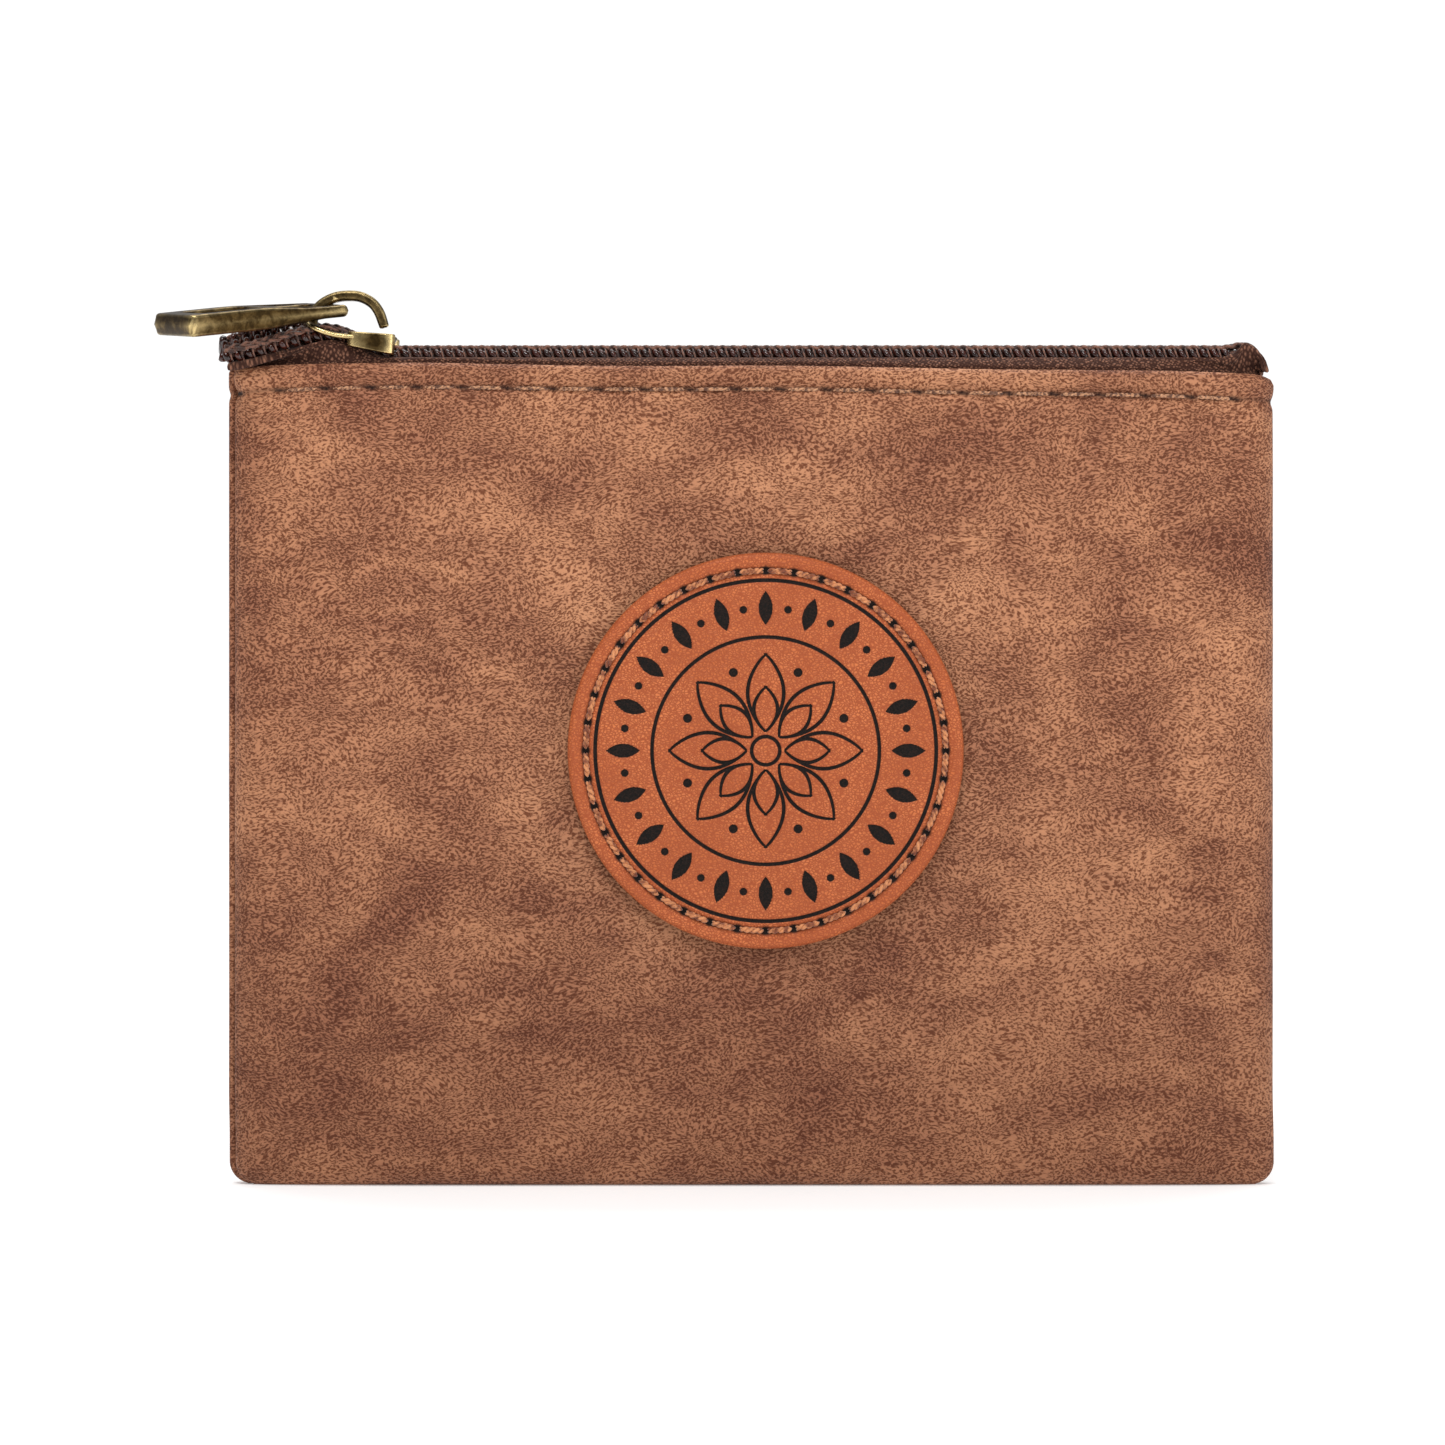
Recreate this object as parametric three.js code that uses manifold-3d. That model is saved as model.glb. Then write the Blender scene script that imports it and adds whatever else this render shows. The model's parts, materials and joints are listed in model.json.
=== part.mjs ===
// A small zipped pouch of leatherette: two padded panels sewn together at the sides and the bottom, a lining bag,
// a nylon coil zip along the top with a cast slider and pull, and a round patch sewn to the front.
// Millimetres, +Z up, the front faces -Y, and the origin is the middle of the flat base.
import * as THREE from "three";
import { mergeVertices } from "three/addons/utils/BufferGeometryUtils.js";
import Module from "manifold-3d";

const wasm = await Module();
wasm.setup();

// Outer shell
const WIDTH = 120;
const HEIGHT = 94.9; // top edge of the panels at mid length
const LEFT_DROP = 2.2; // how much lower the top edge is at its left end
const RIGHT_DROP = 1.8;
const BASE_HALF_DEPTH = 5.2;
const TOP_HALF_DEPTH = 6;
const BULGE = 2; // how far each panel swells beyond a straight wall at mid height
const CORNER_RADIUS = 2.3; // bottom corners, seen from the front
const BASE_EDGE_RADIUS = 1.2; // bottom edges, seen from the side
const SIDE_POWER = 8; // the higher, the squarer the pouch is in plan

// Layers of one wall, from the outside in
const GAP = 0.3;
const LEATHER = 1.1;
const INTERLINING = 0.8;
const LINING = 0.4;
const INTERLINING_TOP = 82;
const LINING_TOP = 91.2;

// The seam that joins the two panels
const SEAM_FORWARD = 1.2; // the bottom seam lies this far in front of the middle
const SEAM_BEND_LOW = 5.5; // between these heights the side seams run back to the middle
const SEAM_BEND_HIGH = 11;
const ALLOWANCE = 4; // width of the seam allowances turned inside
const ALLOWANCE_TOP = 91;
const THREAD = 0.4;
const SEAM_STITCH = 10; // the seam stitches are shown at a coarser pitch than real ones
const SIDE_STITCHES = 7;
const BOTTOM_STITCHES = 11;
const FIRST_SIDE_STITCH = 15; // height of the lowest side stitch
const SEAM_TOP = 88;
const CORNER_STRAND_TOP = 14; // below this the front strand cuts the corner
const FRONT_STRAND_END = 50.5; // where it reaches the bottom
const PANEL_EDGE = GAP / 2; // distances from the seam surface
const ALLOWANCE_FACE = PANEL_EDGE + LEATHER;
const THREAD_LINE = ALLOWANCE_FACE + GAP + THREAD / 2;
const SEAM_X = WIDTH / 2 - LEATHER - ALLOWANCE * 0.375;
const SEAM_Z = LEATHER + ALLOWANCE * 0.375;

// Zip: two tapes, and a nylon coil with its core cord and its sewing thread on each
const TAPE = 0.5;
const TAPE_TOP = 94.6;
const TAPE_BOTTOM = 84;
const TAPE_HALF_LENGTH = 56;
const COIL_PITCH = 1.256;
const COIL_HEIGHT = 1.6;
const COIL_BASE = TAPE_TOP + GAP;
const COIL_OUTER = 2.7; // outer edge of a coil from the middle of the chain
const COIL_ROOT = 0.8; // root of the teeth from the middle
const COIL_REACH = 0.5; // how far the teeth reach past the middle
const TOOTH = 0.36;
const COIL_LEFT = -60;
const COIL_TEETH = 94;
const CORE_BORE = 1.1;
const CORE_CLEARANCE = 0.25;
const COIL_THREAD_WIDTH = 0.8;
const COIL_THREAD_HEIGHT = 0.3;
const COIL_THREAD_GAP = 0.25; // between the coil's top and its thread
const PARTING_START = -43.5; // left of here the two coils part around the slider's wedge
const PARTING_END = -51;
const PARTING = 1.2;
const OPEN_END_PARTING = 0.8; // further parting from the slider's mouth to the left end
const ZIP_BEND = -50; // left of here the zip bends down
const ZIP_END_DROP = 1.6;

// Slider and pull
const SLIDER_X = -46.3;
const SLIDER_HALF_LENGTH = 5.5;
const SLIDER_PITCH = THREE.MathUtils.degToRad(3.5); // the tail end sits lower
const MOUTH_HALF_WIDTH = 4.95;
const TAIL_HALF_WIDTH = 3.7;
const FLANGE = 0.7;
const PLATE = 0.85;
const UPPER_PLATE_BASE = 1.8; // heights in the slider count from the middle of the coils
const LOWER_PLATE_TOP = -2.25;
const LOWER_PLATE_HALF_WIDTH = 2.8;
const FLANGE_BASE = -0.4;
const BRIDGE_WIDTH = 1.6;
const BRIDGE_THICKNESS = 1.2;
const PIVOT = new THREE.Vector3(-48.1, 0, 100.5);
const PULL_YAW = THREE.MathUtils.degToRad(36); // the free end is turned towards the front
const PULL_DECLINE = THREE.MathUtils.degToRad(7.5);
const PULL_ROLL = THREE.MathUtils.degToRad(-5); // the side towards the front hangs lower
const PULL_SHIFT = 1.4; // how far the pull has slid towards the back along the hook
const PULL_LENGTH = 20.3; // from the pivot to the free end
const PULL_WIDTH = 8.6;
const PULL_THICKNESS = 2.5;
const PULL_BRIDGE_THICKNESS = 1.4; // at the end that hangs in the hook
const PULL_BAR_RADIUS = 0.75;
const PULL_CORNER = 0.9;
const WINDOW_HALF_WIDTH = 2.75;
const BRIDGE_WINDOW_END = 6.3;
const PULL_THIN_TO = 5.5;
const PULL_THICK_FROM = 9;
const END_WINDOW = [9.3, 17.8];

// Patch
const PATCH_CENTRE = new THREE.Vector2(1.6, 49.8);
const PATCH_RADIUS = 22.5;
const PATCH_THICKNESS = 1.3;
const PATCH_THREAD_RADIUS = 20.3;
const STITCH_THREAD_RADIUS = 0.25;
const TOP_STITCH_BELOW_EDGE = 3.2;
const TOP_STITCH_HALF_LENGTH = 58;

const FRONT = -1;
const BACK = 1;
const RING_ANGLES = [0, 12, 25, 38, 52, 66, 80].map(THREE.MathUtils.degToRad);
const RING_HEIGHTS = [0, 0.7, 2.3, 10, 26, 49, 72, 88, HEIGHT];

// ---------- solids ----------

function solid(geometry) {
  const bare = geometry.clone();
  bare.deleteAttribute("normal");
  bare.deleteAttribute("uv");
  const merged = mergeVertices(bare, 1e-4);
  const vertProperties = merged.attributes.position.array;
  const triVerts = new Uint32Array(merged.index.array);
  return new wasm.Manifold(new wasm.Mesh({ numProp: 3, vertProperties, triVerts }));
}

function geometryOf(manifold) {
  const mesh = manifold.getMesh();
  const geometry = new THREE.BufferGeometry();
  geometry.setAttribute("position", new THREE.BufferAttribute(mesh.vertProperties, 3));
  geometry.setIndex(new THREE.BufferAttribute(mesh.triVerts, 1));
  return geometry;
}

// A closed solid through rings of equally many points, each ring running anticlockwise about the way they advance.
function loft(rings) {
  const count = rings[0].length;
  const points = rings.flat();
  const middle = (ring) => ring.reduce((sum, p) => sum.add(p), new THREE.Vector3()).divideScalar(count);
  const first = points.push(middle(rings[0])) - 1;
  const last = points.push(middle(rings[rings.length - 1])) - 1;
  const faces = [];
  for (let i = 0; i < count; i++) {
    const next = (i + 1) % count;
    faces.push(first, next, i);
    for (let r = 0; r + 1 < rings.length; r++) {
      const low = r * count;
      const high = low + count;
      faces.push(low + i, low + next, high + next);
      faces.push(low + i, high + next, high + i);
    }
    const top = (rings.length - 1) * count;
    faces.push(last, top + i, top + next);
  }
  const geometry = new THREE.BufferGeometry().setFromPoints(points);
  geometry.setIndex(faces);
  return geometry;
}

function box(x0, x1, y0, y1, z0, z1) {
  const geometry = new THREE.BoxGeometry(x1 - x0, y1 - y0, z1 - z0);
  return solid(geometry.translate((x0 + x1) / 2, (y0 + y1) / 2, (z0 + z1) / 2));
}

// A plan outline of [x, y] points, standing from height z0 to z1.
function plate(outline, z0, z1) {
  const shape = new THREE.Shape(outline.map(([x, y]) => new THREE.Vector2(x, y)));
  return new THREE.ExtrudeGeometry(shape, { depth: z1 - z0, bevelEnabled: false }).translate(0, 0, z0);
}

// A side outline of [y, z] points, running along X from -length/2 to length/2.
function alongX(outline, length) {
  const shape = new THREE.Shape(outline.map(([y, z]) => new THREE.Vector2(y, z)));
  const geometry = new THREE.ExtrudeGeometry(shape, { depth: length, bevelEnabled: false });
  const turn = new THREE.Matrix4().makeBasis(
    new THREE.Vector3(0, 1, 0),
    new THREE.Vector3(0, 0, 1),
    new THREE.Vector3(1, 0, 0),
  );
  return geometry.applyMatrix4(turn).translate(-length / 2, 0, 0);
}

function smoothStep(t) {
  return THREE.MathUtils.smoothstep(t, 0, 1);
}

// ---------- shape of the pouch ----------

function halfDepth(z) {
  const t = THREE.MathUtils.clamp(z / HEIGHT, 0, 1);
  return THREE.MathUtils.lerp(BASE_HALF_DEPTH, TOP_HALF_DEPTH, t) + BULGE * 4 * t * (1 - t);
}

// How far a rounded bottom corner of this radius lies inside the straight wall at height z.
function rounding(z, radius) {
  const below = Math.max(0, 1 - z / radius);
  return radius * (1 - Math.sqrt(1 - below * below));
}

// How much lower the top edge is at x than at mid length.
function topDrop(x) {
  const drop = x < 0 ? LEFT_DROP : RIGHT_DROP;
  return drop * Math.abs(x / (WIDTH / 2)) ** 4;
}

// Distance of the outer face from the middle plane at x, at a height above the rounded base.
function wallDepth(x, z) {
  return halfDepth(z) * Math.sqrt(1 - Math.abs(x / (WIDTH / 2)) ** SIDE_POWER);
}

// One ring of a bag that lies the given distances inside the outer faces, at height z of the outer shell.
function bagRing(z, inset, sideInset, base, rise) {
  const halfWidth = WIDTH / 2 - sideInset - rounding(z, CORNER_RADIUS);
  const depth = halfDepth(z) - inset - rounding(z, BASE_EDGE_RADIUS);
  const quarter = RING_ANGLES.map((angle) => [Math.cos(angle) ** (2 / SIDE_POWER), Math.sin(angle)]);
  const half = [...quarter, [0, 1], ...quarter.map(([c, s]) => [-c, s]).reverse()];
  const full = [...half, ...half.slice(1, -1).map(([c, s]) => [c, -s]).reverse()];
  return full.map(([c, s]) => {
    const x = halfWidth * c;
    const height = base + z * (1 - base / HEIGHT) + rise * (z / HEIGHT) ** 8;
    return new THREE.Vector3(x, depth * s, height - topDrop(x) * (z / HEIGHT) ** 4);
  });
}

function bag(inset, sideInset = inset, base = inset, rise = 0) {
  return solid(loft(RING_HEIGHTS.map((z) => bagRing(z, inset, sideInset, base, rise))));
}

// Everything on one side of the seam surface and more than a distance away from it.
function halfSpace(side, distance) {
  const far = 40;
  const low = -SEAM_FORWARD + side * distance;
  const high = side * distance;
  const outline = [
    [side * far, -far],
    [low, -far],
    [low, SEAM_BEND_LOW],
    [high, SEAM_BEND_HIGH],
    [high, HEIGHT + far],
    [side * far, HEIGHT + far],
  ];
  return solid(alongX(outline, WIDTH + far));
}

function below(z) {
  return box(-WIDTH, WIDTH, -WIDTH, WIDTH, -WIDTH, z);
}

// ---------- panels, interlinings and linings ----------

// Where the seam's thread passes through the two allowances: [x, z, y of the seam surface].
function stitchPlaces() {
  const places = [];
  for (let i = 0; i < SIDE_STITCHES; i++) {
    const z = FIRST_SIDE_STITCH + i * SEAM_STITCH;
    places.push([-SEAM_X, z, 0], [SEAM_X, z, 0]);
  }
  for (let i = 0; i < BOTTOM_STITCHES; i++) {
    places.push([(i - (BOTTOM_STITCHES - 1) / 2) * SEAM_STITCH, SEAM_Z, -SEAM_FORWARD]);
  }
  return places;
}

function stitchRungs(halfThickness) {
  return stitchPlaces().map(([x, z, y]) => {
    const t = halfThickness;
    return box(x - t, x + t, y - THREAD_LINE, y + THREAD_LINE, z - t, z + t);
  });
}

function panel(side) {
  const shell = bag(0).subtract(bag(LEATHER, LEATHER, LEATHER, 8));
  const inside = WIDTH / 2 - LEATHER - ALLOWANCE;
  const hole = box(-inside, inside, -WIDTH, WIDTH, LEATHER + ALLOWANCE, WIDTH);
  const allowance = bag(LEATHER / 2)
    .subtract(halfSpace(side, ALLOWANCE_FACE))
    .subtract(hole)
    .intersect(below(ALLOWANCE_TOP));
  const holes = stitchRungs(THREAD / 2 + GAP).reduce((all, rung) => all.add(rung));
  return shell.add(allowance).intersect(halfSpace(side, PANEL_EDGE)).subtract(holes);
}

function interlining(side) {
  const outer = LEATHER + GAP;
  const layer = bag(outer).subtract(bag(outer + INTERLINING, outer + INTERLINING, outer + INTERLINING, 8));
  return layer.intersect(halfSpace(side, THREAD_LINE + THREAD / 2 + GAP)).intersect(below(INTERLINING_TOP));
}

function lining(side) {
  const outer = LEATHER + INTERLINING + 2 * GAP;
  const edge = LEATHER + ALLOWANCE + GAP;
  const layer = bag(outer, edge, edge).subtract(bag(outer + LINING, edge + LINING, edge + LINING, 8));
  return layer.intersect(halfSpace(side, PANEL_EDGE)).intersect(below(LINING_TOP));
}

// Distance of a strand from the middle: the front one cuts the bottom corners, where the wall closes in on it.
function strandX(z, side) {
  const t = THREE.MathUtils.clamp((CORNER_STRAND_TOP - z) / (CORNER_STRAND_TOP - SEAM_Z), 0, 1);
  return THREE.MathUtils.lerp(SEAM_X, side === FRONT ? FRONT_STRAND_END : SEAM_X, t);
}

// The seam's thread: a strand along each allowance, joined through the allowances at every stitch.
function seamStrand(side) {
  const t = THREAD / 2;
  const heights = [SEAM_TOP, CORNER_STRAND_TOP, SEAM_BEND_HIGH, SEAM_BEND_LOW, SEAM_Z];
  const leg = heights.map((z) => [strandX(z, side), z, z < SEAM_BEND_HIGH ? -SEAM_FORWARD : 0]);
  const ringAt = ([x, z, y], hand) => {
    const up = z === SEAM_Z ? t : 0;
    const face = y + side * THREAD_LINE;
    return [
      new THREE.Vector3(hand * (x + t), face - t, z - up),
      new THREE.Vector3(hand * (x + t), face + t, z - up),
      new THREE.Vector3(hand * (x - t), face + t, z + up),
      new THREE.Vector3(hand * (x - t), face - t, z + up),
    ];
  };
  const left = leg.map((point) => ringAt(point, -1));
  const right = leg.map((point) => ringAt(point, 1)).reverse();
  return solid(loft([...left, ...right]));
}

function seamThread() {
  const strands = seamStrand(FRONT).add(seamStrand(BACK));
  return stitchRungs(THREAD / 2).reduce((all, rung) => all.add(rung), strands);
}

// ---------- zip ----------

function zipDrop(x) {
  const t = Math.max(0, (ZIP_BEND - x) / (ZIP_BEND - COIL_LEFT));
  return ZIP_END_DROP * t * t;
}

function parting(x) {
  const aroundWedge = smoothStep((PARTING_START - x) / (PARTING_START - PARTING_END));
  const openEnd = smoothStep((PARTING_END - x) / (PARTING_END - COIL_LEFT));
  return PARTING * aroundWedge + OPEN_END_PARTING * openEnd;
}

// Moves a straight run of zip, modelled for the front side, on to its place on the given side.
function layZip(geometry, side) {
  const laid = geometry.clone();
  const position = laid.attributes.position;
  for (let i = 0; i < position.count; i++) {
    const x = position.getX(i);
    position.setY(i, -side * (position.getY(i) - parting(x)));
    position.setZ(i, position.getZ(i) - zipDrop(x));
  }
  if (side === BACK) {
    laid.index.array.reverse();
  }
  return laid;
}

function stations(from, to, step) {
  const count = Math.max(1, Math.round((to - from) / step));
  return Array.from({ length: count + 1 }, (_, i) => from + ((to - from) * i) / count);
}

// A rectangular bar along the front coil's line, with enough sections to follow the bends.
function coilBar(y0, y1, z0, z1, left, right) {
  const bend = stations(left, PARTING_START, 1.5);
  const rings = [...bend, right].map((x) => [
    new THREE.Vector3(x, y0, z0),
    new THREE.Vector3(x, y1, z0),
    new THREE.Vector3(x, y1, z1),
    new THREE.Vector3(x, y0, z1),
  ]);
  return loft(rings);
}

function coilTooth(x, side) {
  const root = -COIL_ROOT - 0.15;
  const tooth = new THREE.BoxGeometry(TOOTH, COIL_REACH - root, COIL_HEIGHT);
  tooth.translate(x + TOOTH / 2, (COIL_REACH + root) / 2, COIL_BASE + COIL_HEIGHT / 2);
  return solid(layZip(tooth, side));
}

// A nylon coil as a rack: a bored body along the tape with one tooth for each turn of the coil.
function coil(side) {
  const offset = side === FRONT ? 0.25 : 0.75;
  const right = COIL_LEFT + (COIL_TEETH + 1) * COIL_PITCH;
  const top = COIL_BASE + COIL_HEIGHT;
  const body = layZip(coilBar(-COIL_OUTER, -COIL_ROOT, COIL_BASE, top, COIL_LEFT, right), side);
  const bore = coreBar(CORE_BORE / 2, COIL_LEFT - 1, right + 1, side);
  let rack = solid(body).subtract(solid(bore));
  for (let i = 0; i < COIL_TEETH; i++) {
    rack = rack.add(coilTooth(COIL_LEFT + (i + offset) * COIL_PITCH, side));
  }
  return geometryOf(rack);
}

function coreBar(half, left, right, side) {
  const { y, z } = coilLine();
  return layZip(coilBar(y - half, y + half, z - half, z + half, left, right), side);
}

// The middle of a coil's body, where its core cord runs.
function coilLine() {
  return { y: -(COIL_OUTER + COIL_ROOT) / 2, z: COIL_BASE + COIL_HEIGHT / 2 };
}

function coreCord(side) {
  const right = COIL_LEFT + COIL_TEETH * COIL_PITCH;
  return coreBar(CORE_BORE / 2 - CORE_CLEARANCE, COIL_LEFT + 1, right, side);
}

function coilThread(side) {
  const { y } = coilLine();
  const half = COIL_THREAD_WIDTH / 2;
  const base = COIL_BASE + COIL_HEIGHT + COIL_THREAD_GAP;
  const right = COIL_LEFT + COIL_TEETH * COIL_PITCH;
  return layZip(coilBar(y - half, y + half, base, base + COIL_THREAD_HEIGHT, COIL_LEFT + 1, right), side);
}

// A tape runs level under its coil, turns down behind the panel and ends below the top stitching.
function tape(side) {
  const rings = stations(-TAPE_HALF_LENGTH, TAPE_HALF_LENGTH, 4).map((x) => {
    const outer = wallDepth(x, HEIGHT - TOP_STITCH_BELOW_EDGE) - LEATHER - GAP;
    const inner = outer - TAPE;
    const top = TAPE_TOP - zipDrop(x);
    const start = Math.min(0.4 + parting(x), inner - 0.9);
    const section = [
      [start, top - TAPE],
      [inner - 0.5, top - TAPE],
      [inner, top - TAPE - 0.5],
      [inner, TAPE_BOTTOM],
      [outer, TAPE_BOTTOM],
      [outer, top - 0.7],
      [outer - 0.7, top],
      [start, top],
    ];
    return section.map(([y, z]) => new THREE.Vector3(x, side * y, z));
  });
  const turned = side === FRONT ? rings.map((ring) => ring.reverse()) : rings;
  return loft(turned);
}

// ---------- slider and pull ----------

function sliderFlange(side) {
  const mouth = MOUTH_HALF_WIDTH;
  const tail = TAIL_HALF_WIDTH;
  const outline = [
    [-SLIDER_HALF_LENGTH + 0.5, side * mouth],
    [SLIDER_HALF_LENGTH - 0.4, side * tail],
    [SLIDER_HALF_LENGTH - 0.4, side * (tail - FLANGE)],
    [-SLIDER_HALF_LENGTH + 0.5, side * (mouth - FLANGE)],
  ];
  return solid(plate(outline, FLANGE_BASE, UPPER_PLATE_BASE + 0.2));
}

function upperPlate() {
  const half = [
    [SLIDER_HALF_LENGTH, 2.9],
    [SLIDER_HALF_LENGTH - 0.5, TAIL_HALF_WIDTH],
    [-SLIDER_HALF_LENGTH + 1, MOUTH_HALF_WIDTH],
    [-SLIDER_HALF_LENGTH + 0.3, 4.4],
    [-SLIDER_HALF_LENGTH, 3.2],
  ];
  const outline = [...half, ...half.map(([x, y]) => [x, -y]).reverse()];
  return solid(plate(outline, UPPER_PLATE_BASE, UPPER_PLATE_BASE + PLATE));
}

// The wedge between the plates parts the two coils.
function wedge() {
  const outline = [
    [-2.4, 0.08],
    [-4.7, 0.42],
    [-5.1, 0.25],
    [-5.1, -0.25],
    [-4.7, -0.42],
    [-2.4, -0.08],
  ];
  return solid(plate(outline, LOWER_PLATE_TOP - 0.2, UPPER_PLATE_BASE + 0.2));
}

// The open bridge is a hook that holds the pull: it stands at the mouth and its free end stops above the plate.
function bridge() {
  const foot = UPPER_PLATE_BASE + PLATE - 0.3;
  const legLeft = -5.1;
  const legRight = legLeft + BRIDGE_THICKNESS;
  const tipLeft = 2.75;
  const tipRight = tipLeft + BRIDGE_THICKNESS;
  const tip = 3.4;
  const bend = 4.7; // where the leg and the tip meet the arch
  const crown = 7; // top of the arch
  const shape = new THREE.Shape();
  shape.moveTo(legLeft, foot);
  shape.lineTo(legRight, foot);
  shape.lineTo(legRight, bend);
  shape.quadraticCurveTo(legRight, crown - BRIDGE_THICKNESS, -1.9, crown - BRIDGE_THICKNESS);
  shape.lineTo(1, crown - BRIDGE_THICKNESS);
  shape.quadraticCurveTo(2.5, crown - 1.4, tipLeft, bend - 0.3);
  shape.lineTo(tipLeft, tip);
  shape.lineTo(tipRight, tip);
  shape.lineTo(tipRight, bend);
  shape.quadraticCurveTo(3.6, crown - 0.2, 1.5, crown);
  shape.lineTo(-2, crown);
  shape.quadraticCurveTo(-4.5, crown - 0.2, legLeft, bend);
  const settings = { depth: BRIDGE_WIDTH, bevelEnabled: false, curveSegments: 4 };
  const geometry = new THREE.ExtrudeGeometry(shape, settings);
  return solid(geometry.rotateX(Math.PI / 2).translate(0, BRIDGE_WIDTH / 2, 0));
}

function sliderBody() {
  const reach = SLIDER_HALF_LENGTH - 0.3;
  const width = LOWER_PLATE_HALF_WIDTH;
  const lowerPlate = box(-reach, reach, -width, width, LOWER_PLATE_TOP - PLATE, LOWER_PLATE_TOP);
  const pieces = [upperPlate(), lowerPlate, wedge(), sliderFlange(FRONT), sliderFlange(BACK), bridge()];
  return pieces.reduce((all, piece) => all.add(piece));
}

// Side profile of the pull, thinner towards the hook: a slab between two sloping faces.
function pullProfile() {
  const thin = PULL_BRIDGE_THICKNESS / 2;
  const thick = PULL_THICKNESS / 2;
  const heel = -2;
  const end = PULL_LENGTH + 1;
  const shape = new THREE.Shape();
  shape.moveTo(heel, -thin);
  shape.lineTo(PULL_THIN_TO, -thin);
  shape.lineTo(PULL_THICK_FROM, -thick);
  shape.lineTo(end, -thick);
  shape.lineTo(end, thick);
  shape.lineTo(PULL_THICK_FROM, thick);
  shape.lineTo(PULL_THIN_TO, thin);
  shape.lineTo(heel, thin);
  const depth = 2 * PULL_WIDTH;
  const geometry = new THREE.ExtrudeGeometry(shape, { depth, bevelEnabled: false });
  return solid(geometry.rotateX(Math.PI / 2).translate(0, depth / 2, 0));
}

// The pull lies along +X from its pivot, in the XY plane.
function pull() {
  const half = PULL_WIDTH / 2;
  const cut = PULL_CORNER;
  const heel = -PULL_BAR_RADIUS;
  const outline = [
    [heel, -half + cut / 2],
    [heel + cut / 2, -half],
    [PULL_LENGTH - cut, -half],
    [PULL_LENGTH, -half + cut],
    [PULL_LENGTH, half - cut],
    [PULL_LENGTH - cut, half],
    [heel + cut / 2, half],
    [heel, half - cut / 2],
  ];
  const blank = solid(plate(outline, -PULL_THICKNESS, PULL_THICKNESS)).intersect(pullProfile());
  const w = WINDOW_HALF_WIDTH;
  const deep = PULL_THICKNESS;
  const bridgeWindow = box(-2, BRIDGE_WINDOW_END, -w, w, -deep, deep);
  const endWindow = box(END_WINDOW[0], END_WINDOW[1], -w, w, -deep, deep);
  const bar = solid(new THREE.CylinderGeometry(PULL_BAR_RADIUS, PULL_BAR_RADIUS, PULL_WIDTH - 1, 10));
  return blank.subtract(bridgeWindow).subtract(endWindow).add(bar).translate(0, -PULL_SHIFT, 0);
}

// ---------- patch and stitching ----------

function patchFace() {
  return -(halfDepth(PATCH_CENTRE.y) + GAP + PATCH_THICKNESS);
}

function patch() {
  const disc = new THREE.CylinderGeometry(PATCH_RADIUS, PATCH_RADIUS, PATCH_THICKNESS, 48);
  return disc.translate(PATCH_CENTRE.x, patchFace() + PATCH_THICKNESS / 2, PATCH_CENTRE.y);
}

function patchThread() {
  const y = patchFace() - GAP - STITCH_THREAD_RADIUS;
  const ring = new THREE.TorusGeometry(PATCH_THREAD_RADIUS, STITCH_THREAD_RADIUS, 5, 36);
  return ring.rotateX(Math.PI / 2).translate(PATCH_CENTRE.x, y, PATCH_CENTRE.y);
}

// A row of top stitching follows the outer face of its panel a little below the top edge.
function topStitching(side) {
  const away = GAP + STITCH_THREAD_RADIUS;
  const r = STITCH_THREAD_RADIUS;
  const reach = TOP_STITCH_HALF_LENGTH;
  const xs = [...stations(-reach, -46, 2.4), ...stations(-40, 40, 16), ...stations(46, reach, 2.4)];
  const rings = xs.map((x) => {
    const z = HEIGHT - TOP_STITCH_BELOW_EDGE - topDrop(x) * 0.7;
    const y = side * (wallDepth(x, z) + away);
    const section = [0, 60, 120, 180, 240, 300].map(THREE.MathUtils.degToRad);
    return section.map((a) => new THREE.Vector3(x, y + r * Math.cos(a), z + r * Math.sin(a)));
  });
  return loft(rings);
}

// ---------- materials and assembly ----------

function finish(color, roughness, metalness = 0) {
  return () => new THREE.MeshStandardMaterial({ color, roughness, metalness });
}

const LEATHERETTE = finish(0x8a5c45, 0.75);
const PADDING = finish(0xb9b3a8, 0.95);
const LINING_CLOTH = finish(0x4a342b, 0.85);
const WOVEN_TAPE = finish(0x4b2c22, 0.85);
const NYLON = finish(0x2e1511, 0.3);
const CORE_YARN = finish(0x5c4032, 0.9);
const COIL_YARN = finish(0x7a4c38, 0.85);
const TOP_YARN = finish(0xa77452, 0.7);
const SEAM_YARN = finish(0x6b4636, 0.8);
const ANTIQUE_BRASS = finish(0x82704a, 0.4, 0.9);
const PATCH_LEATHER = finish(0xbf6030, 0.55);
const PATCH_YARN = finish(0x8c5533, 0.7);

function mesh(name, geometry, material) {
  const made = new THREE.Mesh(geometry, material());
  made.name = name;
  return made;
}

const pouch = new THREE.Group();
for (const [name, side] of [["front", FRONT], ["back", BACK]]) {
  pouch.add(
    mesh(name + "_panel", geometryOf(panel(side)), LEATHERETTE),
    mesh(name + "_interlining", geometryOf(interlining(side)), PADDING),
    mesh(name + "_lining", geometryOf(lining(side)), LINING_CLOTH),
    mesh(name + "_zip_tape", tape(side), WOVEN_TAPE),
    mesh(name + "_coil", coil(side), NYLON),
    mesh(name + "_core_cord", coreCord(side), CORE_YARN),
    mesh(name + "_coil_thread", coilThread(side), COIL_YARN),
    mesh(name + "_top_stitching", topStitching(side), TOP_YARN),
  );
}
pouch.add(mesh("shell_seam_stitching", geometryOf(seamThread()), SEAM_YARN));

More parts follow.
